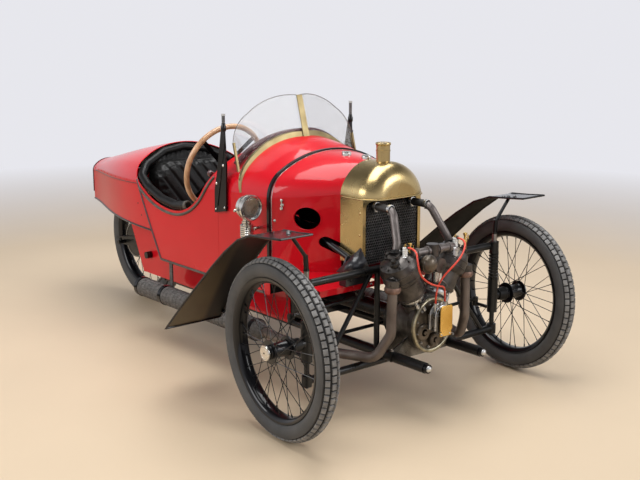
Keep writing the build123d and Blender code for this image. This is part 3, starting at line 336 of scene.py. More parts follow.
# Gives the faces of a mesh, or of a smoothed node, that pass a test another finish.
def paintFaces(mesh, finish, test):
    mesh.materials.append(finishes[finish])
    for face in mesh.polygons:
        if test(face):
            face.material_index = len(mesh.materials) - 1


def paintWhere(node, finish, test):
    paintFaces(skins[node].data, finish, test)


# A new object from a mesh, with its finish, riding on a body.
def pieceFrom(name, mesh, finish, body="car"):
    painted(mesh, finish)
    piece = added(name, mesh)
    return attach(piece, body)


# A matrix whose Y axis runs from start towards end.
def alongY(start, end):
    run = (Vector(end) - Vector(start)).normalized()
    guess = forward if abs(run.x) < 0.9 else upward
    ahead = (guess - run * guess.dot(run)).normalized()
    return Matrix.Translation(start) @ Matrix((ahead, run, ahead.cross(run))).transposed().to_4x4()


# How far across and how high a point stands on a circle, turned by degrees from straight up.
def onCircle(radius, turn):
    angle = math.radians(turn)
    return radius * math.sin(angle), radius * math.cos(angle)


# A curve object through or near these points: "NURBS" with its ends held, or "POLY".
def curveFrom(name, points, kind="NURBS", closed=False):
    curve = bpy.data.curves.new(name, "CURVE")
    curve.dimensions = "3D"
    spline = curve.splines.new(kind)
    spline.points.add(len(points) - 1)
    for point, place in zip(spline.points, points):
        point.co = (*place, 1)
    spline.use_cyclic_u = closed
    if kind == "NURBS":
        spline.order_u = 3
        spline.use_endpoint_u = True
    return bpy.data.objects.new(name, curve)


# A mesh built up from turned, boxed and swept forms, then shown as one piece.
class Shape:
    def __init__(self):
        self.work = bmesh.new()

    def spots(self, points):
        return [self.work.verts.new(point) for point in points]

    # A closed ring of corners round a place's Y axis, or one corner on the axis itself.
    def ring(self, place, radius, along, sides):
        if radius < 1e-6:
            return self.spots([place @ Vector((0, along, 0))])
        turns = [2 * math.pi * i / sides for i in range(sides)]
        return self.spots(place @ Vector((radius * math.sin(t), along, radius * math.cos(t))) for t in turns)

    def skinned(self, rings, loop=False):
        pairs = list(zip(rings, rings[1:])) + ([(rings[-1], rings[0])] if loop else [])
        for a, b in pairs:
            sides = max(len(a), len(b))
            for i in range(sides):
                j = (i + 1) % sides
                corners = dict.fromkeys((a[i % len(a)], a[j % len(a)], b[j % len(b)], b[i % len(b)]))
                if len(corners) > 2:
                    self.work.faces.new(list(corners))
        return self

    # A profile of (radius, along) points turned about the place's own Y axis.
    def lathe(self, place, profile, sides=32, loop=False):
        return self.skinned([self.ring(place, r, y, sides) for r, y in profile], loop)

    # A turned profile standing on a point, its axis pointing this way.
    def stud(self, point, axis, profile, sides=12, loop=False):
        return self.lathe(alongY(point, Vector(point) + Vector(axis)), profile, sides, loop)

    def rod(self, start, end, radius, sides=10, tip=None):
        length = (Vector(end) - Vector(start)).length
        profile = [(0, 0), (radius, 0), (radius if tip is None else tip, length), (0, length)]
        return self.lathe(alongY(start, end), profile, sides)

    # A hexagon head with a bevelled washer face, standing on a point.
    def bolt(self, point, axis, across=0.007, height=0.005):
        washer, flat, tip = across * 0.85, across * 0.6, across * 0.45
        self.stud(point, axis, [(0, 0), (washer, 0), (washer, height * 0.2), (0, height * 0.2)], 12)
        head = [(0, 0), (flat, 0), (flat, height), (tip, height * 1.15), (0, height * 1.15)]
        return self.stud(point, axis, head, 6)

    def box(self, low, high):
        ranges = list(zip(low, high))
        corners = self.spots((x, y, z) for x in ranges[0] for y in ranges[1] for z in ranges[2])
        for face in ((0, 1, 3, 2), (4, 6, 7, 5), (0, 4, 5, 1), (2, 3, 7, 6), (0, 2, 6, 4), (1, 5, 7, 3)):
            self.work.faces.new([corners[i] for i in face])
        return self

    # A flat form: an outline of (y, z), drawn out along X.
    def plate(self, outline, start, end):
        rings = [self.spots((along, y, z) for y, z in outline) for along in (start, end)]
        self.skinned(rings)
        for ring in rings:
            self.work.faces.new(ring)
        return self

    def mesh(self, mesh, matrix=None):
        fresh = mesh.copy()
        if matrix:
            fresh.transform(matrix)
        self.work.from_mesh(fresh)
        bpy.data.meshes.remove(fresh)
        return self

    # A round tube along the NURBS line of these control points.
    def tube(self, points, radius, sides=12):
        line = curveFrom("line", points)
        bpy.context.scene.collection.objects.link(line)
        line.data.splines[0].resolution_u = 6
        mesh = evaluated(line)
        spots = [v.co.copy() for v in mesh.vertices]
        bpy.data.objects.remove(line)
        bpy.data.meshes.remove(mesh)
        return self.sweep(spots, radius, sides)

    # A tube through these very spots; squash is (normals, factor) to flatten it.
    def sweep(self, spots, radius, sides=12, squash=None):
        spots = [Vector(s) for s in spots]
        spots = [s for i, s in enumerate(spots) if i == 0 or (s - spots[i - 1]).length > 1e-5]
        turns = [2 * math.pi * k / sides for k in range(sides)]
        side = None
        rings = []
        for i, spot in enumerate(spots):
            run = (spots[min(i + 1, len(spots) - 1)] - spots[max(i - 1, 0)]).normalized()
            if side is None:
                side = run.orthogonal().normalized()
            side = (side - run * side.dot(run)).normalized()
            other = run.cross(side)
            size = radius[i] if isinstance(radius, list) else radius
            offsets = [(side * math.cos(t) + other * math.sin(t)) * size for t in turns]
            if squash:
                away, factor = squash
                offsets = [o - away[i] * o.dot(away[i]) * (1 - factor) for o in offsets]
            rings.append(self.spots(spot + o for o in offsets))
        self.skinned(rings)
        self.work.faces.new(rings[0])
        self.work.faces.new(rings[-1])
        return self

    def made(self, name):
        bmesh.ops.recalc_face_normals(self.work, faces=self.work.faces)
        mesh = bpy.data.meshes.new(name)
        self.work.to_mesh(mesh)
        self.work.free()
        return mesh

    # A small mesh that is only copied by a node tree.
    def pattern(self, name):
        return bpy.data.objects.new(name, self.made(name))

    def piece(self, name, finish, body="car", angle=40, bevel=0, nodes=()):
        bmesh.ops.remove_doubles(self.work, verts=self.work.verts, dist=1e-6)
        mesh = self.made(name)
        smoothShaded(mesh, angle)
        piece = pieceFrom(name, mesh, finish, body)
        if bevel:
            rounding = piece.modifiers.new("rounding", "BEVEL")
            rounding.width = bevel
            rounding.segments = 2
            rounding.limit_method = "ANGLE"
        if nodes:
            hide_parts(*nodes)
        return piece


# A rectangle's outline with rounded corners.
def rounded(low, high, radius, steps=4):
    spots = []
    for turn, (x, z) in enumerate((high, (low[0], high[1]), low, (high[0], low[1]))):
        middle = (x + (radius if turn in (1, 2) else -radius), z + (radius if turn in (2, 3) else -radius))
        for i in range(steps + 1):
            angle = math.radians(90 * (turn + i / steps))
            spots.append((middle[0] + radius * math.cos(angle), middle[1] + radius * math.sin(angle)))
    return spots


# A matrix at a wheel's joint, with Y along its axle.
def jointPlace(name):
    joint = next(j for j in frame["record"]["behaviour"]["joints"] if j["name"] == name)
    spot = Vector(joint["pos_m"])
    return alongY(spot, spot + Vector(joint["axis"]))


# Geometry Nodes: a group that places copies of a piece on points that layout wires from its named inputs
def copiesTree(name, layout, **extras):
    tree = bpy.data.node_groups.new(name, "GeometryNodeTree")
    tree.interface.new_socket("Geometry", in_out="OUTPUT", socket_type="NodeSocketGeometry")
    for label, kind in {"Piece": "Object", "Material": "Material", **extras}.items():
        tree.interface.new_socket(label, in_out="INPUT", socket_type="NodeSocket" + kind)
    entry = tree.nodes.new("NodeGroupInput").outputs
    piece = addNode(tree, "GeometryNodeObjectInfo", {"Object": entry["Piece"]})
    placing = {**layout(tree, entry), "Instance": piece.outputs["Geometry"]}
    placed = addNode(tree, "GeometryNodeInstanceOnPoints", placing)
    real = addNode(tree, "GeometryNodeRealizeInstances", {"Geometry": placed.outputs["Instances"]})
    painting = {"Geometry": real.outputs["Geometry"], "Material": entry["Material"]}
    paint = addNode(tree, "GeometryNodeSetMaterial", painting)
    addNode(tree, "NodeGroupOutput", {"Geometry": paint.outputs["Geometry"]})
    return tree


# Points that these fields move to their X, Y and Z.
def movedPoints(tree, count, parts):
    points = addNode(tree, "GeometryNodePoints", {"Count": count})
    spot = addNode(tree, "ShaderNodeCombineXYZ", parts)
    moving = {"Geometry": points.outputs["Points"], "Position": spot.outputs["Vector"]}
    return addNode(tree, "GeometryNodeSetPosition", moving).outputs["Geometry"]


# Points round the Y axis at a radius and a sideways offset, turned to face outwards.
def ringPoints(tree, entry):
    index = Field(tree, tree.nodes.new("GeometryNodeInputIndex").outputs["Index"])
    turn = (index.maths("DIVIDE", entry["Count"]) + entry["Phase"]) * (2 * math.pi)
    across, high = (turn.maths(part) * entry["Radius"] for part in ("SINE", "COSINE"))
    spin = addNode(tree, "ShaderNodeCombineXYZ", {"Y": turn})
    euler = addNode(tree, "FunctionNodeEulerToRotation", {"Euler": spin.outputs["Vector"]})
    spots = movedPoints(tree, entry["Count"], {"X": across, "Y": entry["Offset"], "Z": high})
    return {"Points": spots, "Rotation": euler.outputs["Rotation"]}


# Points of a staggered grid in the YZ plane.
def gridPoints(tree, entry):
    index = Field(tree, tree.nodes.new("GeometryNodeInputIndex").outputs["Index"])
    row = index.maths("DIVIDE", entry["Across"]).maths("FLOOR")
    column = index.maths("MODULO", entry["Across"]) + row.maths("MODULO", 2.0) * 0.5
    parts = {"Y": column * entry["Pitch"], "Z": row * entry["Pitch"] * 0.866}
    return {"Points": movedPoints(tree, Field(tree, entry["Across"]) * entry["Rows"], parts)}


# Points at even steps along a line object, turned to follow it with X along and Z up.
def linePoints(tree, entry):
    line = addNode(tree, "GeometryNodeObjectInfo", {"Object": entry["Line"]})
    steps = {"Curve": line.outputs["Geometry"], "Count": entry["Count"]}
    points = addNode(tree, "GeometryNodeCurveToPoints", steps).outputs
    turned = addNode(
        tree, "FunctionNodeAlignEulerToVector", {"Vector": points["Tangent"]}, axis="X", pivot_axis="Y",
    )
    euler = addNode(tree, "FunctionNodeEulerToRotation", {"Euler": turned.outputs["Rotation"]})
    return {"Points": points["Points"], "Rotation": euler.outputs["Rotation"]}


ringTree = copiesTree("ringOfCopies", ringPoints, Count="Int", Radius="Float", Offset="Float", Phase="Float")
lineTree = copiesTree("copiesOnLine", linePoints, Line="Object", Count="Int")
gridTree = copiesTree("gridOfCopies", gridPoints, Across="Int", Rows="Int", Pitch="Float")


# The mesh that a copies tree makes of a piece with these named inputs.
def copies(tree, piece, finish, **values):
    carrier = added("carrier", bpy.data.meshes.new("carrier"))
    modifier = carrier.modifiers.new("copies", "NODES")
    modifier.node_group = tree
    known = {item.name: item.identifier for item in tree.interface.items_tree if item.in_out == "INPUT"}
    for label, value in {"Piece": piece, "Material": finishes[finish], **values}.items():
        modifier[known[label]] = value
    mesh = evaluated(carrier)
    bpy.data.objects.remove(carrier)
    return mesh


# A small mesh of these corners and faces, which is only copied by a node tree.
def pattern(name, corners, faces):
    mesh = bpy.data.meshes.new(name)
    mesh.from_pydata(corners, [], faces)
    return bpy.data.objects.new(name, mesh)


# Wheels: block tread tyres, rolled rims, laced spokes with nipples, and bright caps on the front hubs
wheel = {
    "crown": 0.291, "section": 0.039, "grooveDepth": 0.0045, "grooveAngle": 58, "profileStep": 4.1,
    "blockAngle": 38, "blocks": 76, "spokes": 36, "spokeRadius": 0.0015, "flange": 0.038,
    "flangeRadius": 0.039, "lacing": 38, "bed": 0.243, "teeth": 44, "sprocket": 0.084, "sprocketY": 0.072,
}


# A profile and its mirror image across the wheel's middle plane.
def mirrored(half):
    return half + [(radius, -along) for radius, along in reversed(half)]


def tyreProfile():
    points = []
    for step in range(-33, 34):
        turn = step * wheel["profileStep"]
        size = wheel["section"] - (wheel["grooveDepth"] if abs(turn) < wheel["grooveAngle"] else 0)
        across, out = onCircle(size, turn)
        points.append((wheel["crown"] + out, across))
    return points + mirrored([(0.262, 0.024), (0.248, 0.011)])


# Whether a spot in the wheel's own frame is on the sunk band that carries the tread blocks.
def onTread(spot):
    out = Vector((math.hypot(spot.x, spot.z) - wheel["crown"], spot.y))
    return out.x > 0 and abs(math.atan2(out.y, out.x)) < math.radians(wheel["grooveAngle"] + 1)


# One tread block for the row that stands at this angle round the tyre's section.
def treadBlock(angle):
    tilt = Matrix.Rotation(-math.radians(angle), 3, "X")
    corners = []
    for height, length, width in ((-0.006, 0.0104, 0.0080), (-0.0012, 0.0104, 0.0080), (0, 0.0094, 0.0068)):
        square = [(-length, -width), (length, -width), (length, width), (-length, width)]
        corners += [tilt @ Vector((x, y, height)) for x, y in square]
    walls = [(k + i, k + (i + 1) % 4, k + 4 + (i + 1) % 4, k + 4 + i) for k in (0, 4) for i in range(4)]
    return pattern("treadBlock", corners, [(8, 9, 10, 11)] + walls)


blockRows = [(angle, treadBlock(angle)) for angle in (-wheel["blockAngle"], 0, wheel["blockAngle"])]


def makeTyre(side, place, body, node):
    tyre = Shape().lathe(place, tyreProfile(), 96, loop=True)
    tyre = tyre.piece("tyre" + side, "tyre_rubber", body, nodes=[node])
    # Painted shade: the sunk band between the tread blocks gets a near black rubber
    paintFaces(tyre.data, "treadGapShade", lambda f: onTread(place.inverted() @ f.center))
    tread = Shape()
    for angle, block in blockRows:
        lean = math.radians(angle)
        tread.mesh(copies(
            ringTree, block, "treadTops", Count=wheel["blocks"],
            Radius=wheel["crown"] + wheel["section"] * math.cos(lean),
            Offset=wheel["section"] * math.sin(lean), Phase=0.5 / wheel["blocks"] if angle == 0 else 0.0,
        ), place)
    tread.piece("tread" + side, "treadTops", body)


rimProfile = mirrored([
    (0.240, -0.015), (0.246, -0.024), (0.257, -0.0295), (0.2615, -0.030), (0.2625, -0.0285),
    (0.2615, -0.027), (0.2475, -0.020), (0.2445, -0.012),
])
hubProfile = mirrored([
    (0.0103, -0.046), (0.023, -0.046), (0.0255, -0.044), (0.0265, -0.041), (0.0435, -0.040),
    (0.044, -0.038), (0.0435, -0.036), (0.031, -0.033), (0.0275, -0.026),
])
capProfile = [
    (0, 0.0465), (0.022, 0.0465), (0.0265, 0.050), (0.028, 0.055), (0.0285, 0.0585), (0.0275, 0.0605),
    (0.0225, 0.0612), (0.0215, 0.0602), (0.0205, 0.0612), (0.008, 0.0622), (0, 0.0623),
]
sleeveProfile = [
    (0.010, -0.049), (0.026, -0.049), (0.0285, -0.052), (0.0285, -0.058), (0.026, -0.061), (0.0255, -0.084),
    (0.022, -0.090), (0.010, -0.090),
]
toothOutline = [(-0.0045, -0.003), (0.0045, -0.003), (0.0012, 0.0042), (-0.0012, 0.0042)]
tooth = pattern(
    "tooth", [(x, y, z) for y in (-0.002, 0.002) for x, z in toothOutline],
    [(0, 1, 2, 3), (4, 7, 6, 5), (1, 5, 6, 2), (3, 2, 6, 7), (0, 3, 7, 4)],
)


# A sprocket on its boss, on one side of the rear hub.
def addSprocket(rim, place, lateral):
    y, inner = lateral * wheel["sprocketY"], lateral * 0.045
    rim.lathe(place, [(0.0125, inner), (0.021, inner), (0.021, y), (0.0125, y)], 24, loop=True)
    outside = wheel["sprocket"]
    disc = [(0.02, y - 0.0025), (outside, y - 0.0025), (outside, y + 0.0025), (0.02, y + 0.0025)]
    rim.lathe(place, disc, 64, loop=True)
    teeth = copies(ringTree, tooth, "steel", Count=wheel["teeth"], Radius=outside, Offset=y, Phase=0.0)
    rim.mesh(teeth, place)


def makeWheel(side, place, body, nodes):
    rim = Shape().lathe(place, rimProfile, 96, loop=True).lathe(place, hubProfile, 40, loop=True)
    wires = Shape()
    for i in range(wheel["spokes"]):
        along = wheel["flange"] if i % 2 else -wheel["flange"]
        lean = wheel["lacing"] if i % 4 < 2 else -wheel["lacing"]
        ends = []
        for turn, radius, y in (
            (i * 10 + lean, wheel["flangeRadius"], along),
            (i * 10, wheel["bed"], math.copysign(0.005, along)),
        ):
            high, ahead = onCircle(radius, turn)
            ends.append(place @ Vector((ahead, y, high)))
        wires.rod(*ends, wheel["spokeRadius"], 6)
        rim.rod(ends[1], ends[1].lerp(ends[0], 0.075), 0.0034, 6, tip=0.0022)
    if side == "Rear":
        addSprocket(rim, place, -1)
        addSprocket(rim, place, 1)
    else:
        Shape().lathe(place, capProfile, 40).piece("hubCap" + side, "nickel", body)
        wires.lathe(place, [(0, 0.0622), (0.004, 0.0622), (0.004, 0.0626), (0, 0.0626)], 6)
    wires.piece("spokes" + side, "black_paint", body)
    rim.piece("wheel" + side, "black_paint", body, nodes=nodes)


for side, joint, body, tyreNode, *wheelNodes in (
    ("Right", "front_right_spin", "wheel_right", "front_right_tyre", "front_right_wheel"),
    ("Left", "front_left_spin", "wheel_left", "front_left_tyre", "front_left_wheel"),
    ("Rear", "rear_spin", "wheel_rear", "rear_tyre", "rear_wheel", "rear_hub"),
):
    place = jointPlace(joint)
    if side != "Rear":
        sleeve = Shape().lathe(place, sleeveProfile, 36, loop=True)
        sleeve.piece("stubSleeve" + side, "frame_black", body.replace("wheel", "stub"))
    makeTyre(side, place, body, tyreNode)
    makeWheel(side, place, body, wheelNodes)
print("wheels made")

# Driving chains: pairs of plates and rollers carried round each loop
chain = {"rear": (-0.948, 0.330), "front": (-0.565, 0.334), "big": 0.0905, "small": 0.0465, "links": 100}


def chainLine(y):
    (backX, backZ), (frontX, frontZ) = chain["rear"], chain["front"]
    span = math.hypot(frontX - backX, frontZ - backZ)
    lean = math.degrees(math.asin((chain["big"] - chain["small"]) / span))
    spots = []
    for (x, z), radius, start, end in (
        (chain["rear"], chain["big"], 90 - lean, 270 + lean),
        (chain["front"], chain["small"], lean - 90, 90 - lean),
    ):
        for i in range(25):
            high, ahead = onCircle(radius, start + (end - start) * i / 24)
            spots.append((x + ahead, y, z + high))
    return curveFrom("line", spots, "POLY", closed=True)


chainLink = Shape()
for y in (-0.0042, 0.0034):
    chainLink.box((-0.0072, y, -0.0035), (0.0072, y + 0.0008, 0.0035))
chainLink.lathe(Matrix.Identity(4), [(0, -0.0046), (0.0026, -0.0046), (0.0026, 0.0046), (0, 0.0046)], 6)
chainLink = chainLink.pattern("chainLink")
chains = Shape()
for y in (-wheel["sprocketY"], wheel["sprocketY"]):
    chains.mesh(copies(lineTree, chainLink, "steel", Line=chainLine(y), Count=chain["links"]))
chains.piece("driveChains", "steel", nodes=["drive_chains"])
print("chains made")

# Sparking plug leads: free cords from each plug to the magneto
lead = {"diameter": 0.007, "runToSpan": 0.955}
leadPaths = {
    "right": [
        (1.160, -0.134, 0.650), (1.214, -0.148, 0.656), (1.240, -0.166, 0.612), (1.240, -0.150, 0.562),
        (1.236, -0.104, 0.528), (1.230, -0.052, 0.506), (1.214, 0.000, 0.494), (1.193, 0.032, 0.468),
        (1.193, 0.032, 0.426),
    ],
    "left": [
        (1.160, 0.134, 0.650), (1.212, 0.118, 0.655), (1.236, 0.084, 0.618), (1.236, 0.044, 0.580),
        (1.216, 0.004, 0.540), (1.193, -0.018, 0.484), (1.193, -0.018, 0.426),
    ],
}


for name, points in leadPaths.items():
    cord = curveFrom("plugLead" + name.capitalize(), points)
    bpy.context.scene.collection.objects.link(cord)
    cord.data.bevel_depth = lead["diameter"] / 2
    cord.data.bevel_resolution = 4
    cord.data.resolution_u = 16
    cord.data.use_fill_caps = True
    cord.data.materials.append(finishes["lead_rubber"])
    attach(cord, "car")
    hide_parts("plug_lead_" + name)
print("leads made")

# Engine: castings told apart by place, then nuts, clips, plugs, cocks and covers
engine = {"cylinderX": 1.115, "drumFront": 1.163, "height": 0.334, "hosesJoin": 1.036}
drum = alongY((engine["drumFront"], 0, engine["height"]), (2, 0, engine["height"]))
nut = Shape().bolt((0, 0, 0), leftward, 0.006, 0.0055).pattern("nut")


def onDrum(face):
    return face.center.x > 1.125 and math.hypot(face.center.y, face.center.z - engine["height"]) < 0.105


for node, finish, test in (
    ("crankcase", "oilyBrown", onDrum),
    ("crankcase", "frame_black", lambda f: f.center.z < 0.27 and abs(f.center.y) > 0.1),
    ("lower_tubes", "black_paint", lambda f: f.center.x > 1.275),
    ("water_hoses", "metalPipe", lambda f: f.center.x > engine["hosesJoin"]),
    ("water_hoses", "hoseBlack", lambda f: f.center.x <= engine["hosesJoin"]),
    ("inlet_manifold", "metalPipe", lambda f: abs(f.center.y) > 0.03),
    ("magneto", "brightAlloy", lambda f: f.center.x < 1.2185),
):
    paintWhere(node, finish, test)

Shape().lathe(drum, [
    (0.092, -0.008), (0.107, -0.008), (0.1085, -0.004), (0.1085, 0.0015), (0.106, 0.005), (0.101, 0.0065),
    (0.095, 0.005), (0.092, 0.001),
], 72, loop=True).piece("timingRim", "wornAlloy")
bosses = Shape()
for y, z, radius, depth in (
    (-0.052, -0.02, 0.034, 0.010), (0.004, -0.058, 0.028, 0.014), (0.052, -0.024, 0.03, 0.008),
):
    foot = (engine["drumFront"], y, engine["height"] + z)
    dome = [(0, 0.0), (radius, 0.0), (radius - 0.002, depth - 0.003), (radius - 0.006, depth), (0, depth)]
    bosses.stud(foot, forward, dome, 28)
    bosses.stud(foot, forward, [(0, depth), (0.008, depth), (0.008, depth + 0.005), (0, depth + 0.006)], 6)
bosses.piece("timingBosses", "oilyBrown", angle=30)
covers = Shape()
covers.mesh(copies(ringTree, nut, "steel", Count=12, Radius=0.0855, Offset=0.001, Phase=0.04), drum)
for x in (1.050, 1.115):
    for y in (-0.165, 0.165):
        covers.bolt((x, y, 0.251), upward, 0.009, 0.007)
covers.bolt((engine["drumFront"] - 0.004, 0, 0.232), (0.3, 0, -1), 0.010, 0.008)

# Turned profiles of what stands on the cylinders
plugBody = [(0, 0.0), (0.0135, 0.0), (0.0135, 0.013), (0.0105, 0.016), (0, 0.016)]
insulator = [(0.0095, 0.016)]
for i in range(4):
    rise = i * 0.0085
    insulator += [(0.0102, 0.018 + rise), (0.0102, 0.0215 + rise), (0.0088, 0.0245 + rise)]
insulator.append((0, 0.052))
plugNut = [(0, 0.052), (0.006, 0.052), (0.006, 0.057), (0.0032, 0.058), (0.0032, 0.063), (0, 0.0635)]
cockStem = [
    (0, -0.02), (0.006, -0.02), (0.006, 0.018), (0.009, 0.019), (0.009, 0.027), (0.005, 0.029),
    (0.0045, 0.040), (0.0085, 0.050), (0.0085, 0.054), (0.007, 0.0545), (0.004, 0.043), (0, 0.042),
]
exhaustUnion = [
    (0.0195, -0.004), (0.0285, -0.004), (0.031, 0.0), (0.031, 0.010), (0.0285, 0.012), (0.0285, 0.016),
    (0.0245, 0.019), (0.0195, 0.019),
]
hoseClip = [(0.0152, -0.006), (0.0172, -0.0055), (0.0172, 0.0055), (0.0152, 0.006)]
hoseFlange = [(0.0145, 0.0), (0.026, 0.0), (0.026, 0.007), (0.018, 0.009), (0.018, 0.014), (0.0145, 0.014)]

jackets, brights, brasses, heads = Shape(), Shape(), Shape(), Shape()
for name, side in sides.items():
    lean = Vector((0, side * 0.5, 0.866))
    foot = Vector((engine["cylinderX"], 0, engine["height"]))
    axis = alongY(foot, foot + lean)
    covers.mesh(copies(ringTree, nut, "steel", Count=6, Radius=0.0415, Offset=0.116, Phase=0.08), axis)
    brights.lathe(axis, [(0.0445, 0.118), (0.0452, 0.119), (0.0452, 0.137), (0.0445, 0.138)], 40, loop=True)
    for radius, along in ((0.0612, 0.152), (0.0742, 0.239), (0.0742, 0.268)):
        ridge = [(0, -0.004), (0.0025, -0.002), (0.0025, 0.002), (0, 0.004)]
        jackets.lathe(axis, [(radius + out, along + step) for out, step in ridge], 48, loop=True)
    heads.mesh(copies(ringTree, nut, "steel", Count=8, Radius=0.0575, Offset=0.3015, Phase=0.03), axis)
    for x, z in ((-0.031, 0.0), (0.024, -side * 0.028)):
        cap = axis @ Vector((x, 0.309, z))
        heads.rod(cap, cap + lean * 0.012, 0.019, 24)
        heads.bolt(cap + lean * 0.010, lean, 0.017, 0.014)

    # Sparking plug: hexagon body, ribbed white insulator and brass top nut
    plug = (1.1446, side * 0.1345, 0.6)
    brights.stud(plug, upward, plugBody, 6)
    Shape().stud(plug, upward, insulator, 20).piece("insulator" + name.capitalize(), "porcelain")
    brasses.stud(plug, upward, plugNut)

    # Priming cock: stem and cup, and a barrel with a cross tap
    cock = Vector((1.139, side * (0.105 if side < 0 else 0.196), 0.605))
    brasses.stud(cock, upward, cockStem, 14)
    tap = cock + Vector((-0.004, 0.022, 0.034))
    brasses.rod(cock + Vector((0.004, -0.010, 0.034)), tap, 0.0026, 8)
    brasses.rod(tap - upward * 0.008, tap + upward * 0.010, 0.0024, 8)

    # Exhaust port's finned union ring
    union = Shape().stud((1.145, side * 0.196, 0.506), -upward, exhaustUnion, 32, loop=True)
    union.piece("exhaustUnion" + name.capitalize(), "rustBrass")

    # Hose clips with their screws, and the hose's flange on the head
    for x, y in ((0.9475, side * 0.0962), (1.0255, side * 0.0977)):
        brights.stud((x, y, 0.7697), forward, hoseClip, 28, loop=True)
        brights.box((x - 0.005, y - 0.008, 0.750), (x + 0.005, y + 0.002, 0.756))
        brights.rod((x, y - 0.012, 0.753), (x, y + 0.008, 0.753), 0.0024, 8)
    base = Vector((1.1072, side * 0.1463, 0.6225))
    rise = alongY(base, base + Vector((-0.10, -side * 0.13, 0.72)))
    heads.lathe(rise, hoseFlange, 28, loop=True)
    for x in (-0.021, 0.021):
        covers.bolt(rise @ Vector((x, 0.006, 0)), rise.to_3x3() @ leftward, 0.0052, 0.006)

    # Tappets and pushrods in front of each cylinder
    for step in (-0.013, 0.013):
        low = Vector((1.158, side * 0.060 + step, 0.408))
        high = low + lean * 0.118 + Vector((0.004, 0, 0))
        brights.rod(low, high, 0.0036, 10)
        brights.rod(low - lean * 0.012, low + lean * 0.022, 0.0085, 14, tip=0.007)
        brights.bolt(low + lean * 0.020, lean, 0.0085, 0.007)
        brasses.bolt(high - lean * 0.008, lean, 0.0066, 0.006)

# Domed nuts on the ends of the chassis tubes
for side in sides.values():
    dome = [(0, 0), (0.0125, 0), (0.0125, 0.002), (0.0105, 0.0065), (0.006, 0.0095), (0, 0.0105)]
    brights.stud((1.2895, side * 0.149, 0.224), forward, dome, 20)
brights.piece("engineBrights", "brightAlloy")
brasses.piece("engineBrass", "fittingBrass")
heads.piece("valveCaps", "darkIron", angle=30)
covers.piece("engineNuts", "steel")
jackets.piece("jacketRidges", "engine_iron")

# Carburettor: domed mixing chamber, float bowl and pipe unions
bowl = Shape()
dome = alongY((1.172, -0.052, 0.582), (2.0, -0.10, 0.570))
bowl.lathe(dome, [
    (0, 0.0), (0.031, 0.0), (0.034, 0.004), (0.034, 0.020), (0.032, 0.026), (0.027, 0.034), (0.019, 0.040),
    (0.010, 0.043), (0, 0.044),
], 36)
bowl.lathe(dome, [(0.0335, 0.017), (0.036, 0.018), (0.036, 0.022), (0.0335, 0.023)], 36, loop=True)
bowl.rod((1.165, -0.050, 0.585), (1.158, 0.0, 0.590), 0.016, 20)
bowl.piece("carburettorDome", "oilyBrown", angle=30)
chamber = Shape().stud((1.176, 0.004, 0.502), upward, [
    (0, 0.0), (0.012, 0.0), (0.0185, 0.006), (0.0185, 0.058), (0.0205, 0.060), (0.0205, 0.068),
    (0.0185, 0.070), (0.012, 0.076), (0, 0.078),
], 28)
chamber.rod((1.176, 0.004, 0.576), (1.176, 0.004, 0.590), 0.005, 12)
chamber.stud((1.166, 0.103, 0.556), (0, 0.009, 0.074), [
    (0, 0.0), (0.0155, 0.0), (0.0155, 0.052), (0.0175, 0.053), (0.0175, 0.062), (0.010, 0.066), (0, 0.066),
], 24)
chamber.piece("floatChamber", "brightAlloy")
joints = Shape()
for y in (-0.086, -0.030, 0.030, 0.086):
    collar = [(0.0145, -0.006), (0.0195, -0.005), (0.0195, 0.005), (0.0145, 0.006)]
    joints.stud((1.155, y, 0.622), leftward, collar, 24, loop=True)
joints.tube([
    (1.176, 0.016, 0.512), (1.19, 0.035, 0.50), (1.17, 0.07, 0.47), (1.12, 0.12, 0.44), (1.06, 0.16, 0.43),
    (1.01, 0.12, 0.46),
], 0.003, 8)
joints.piece("inletJoints", "metalPipe")

# Magneto: polished brass front cover, horseshoe bands and terminals
magneto = {"front": 1.2275, "bandRadius": 0.0355, "bandY": 0.007, "bandZ": 0.380, "bandFoot": 0.325}
cover = Shape().plate(rounded((-0.030, 0.322), (0.034, 0.424), 0.012), magneto["front"], 1.2335)
cover.piece("magnetoCover", "magnetoBrass", bevel=0.0018)
foot = Shape().plate(rounded((-0.030, 0.306), (0.030, 0.322), 0.004), magneto["front"], 1.2325)
foot.piece("magnetoFoot", "magnetoBrass", bevel=0.001)
bands = Shape()
for x in (1.178, 1.206):
    spots = [(x, -0.0315, magneto["bandFoot"])]
    for turn in range(-100, 101, 20):
        across, high = onCircle(magneto["bandRadius"], turn)
        spots.append((x, magneto["bandY"] + across, magneto["bandZ"] + high))
    bands.sweep(spots + [(x, 0.0455, magneto["bandFoot"])], 0.0042, 8)
for y in (-0.024, 0.020):
    bands.bolt((1.2325, y, 0.3135), forward, 0.0042, 0.003)
for y in (-0.018, 0.032):
    bands.bolt((1.193, y, 0.414), upward, 0.0075, 0.006)
bands.piece("magnetoBands", "brightAlloy")
print("engine made")

# Lines and fittings laid on the body's skins
def surfaceOf(*nodes):
    spots, faces = [], []
    for node in nodes:
        mesh = skins.get(node, frame["nodes"][node]).data
        faces += [[len(spots) + i for i in face.vertices] for face in mesh.polygons]
        spots += [vertex.co.copy() for vertex in mesh.vertices]
    return BVHTree.FromPolygons(spots, faces)


bodySurface = surfaceOf(
    "bonnet", "scuttle", "cockpit_side_right", "cockpit_side_left", "tail_deck", "tail_skirt",
)
shellSurface = surfaceOf("radiator_shell")


# Points and normals where sideways lines at these (x, z) spots meet the body on one side.
def onSide(side, spots, lift=0.0, surface=bodySurface):
    hits = [surface.ray_cast(Vector((x, side * 0.9, z)), leftward * -side)[:2] for x, z in spots]
    return [(spot + normal * lift, normal) for spot, normal in hits if spot]


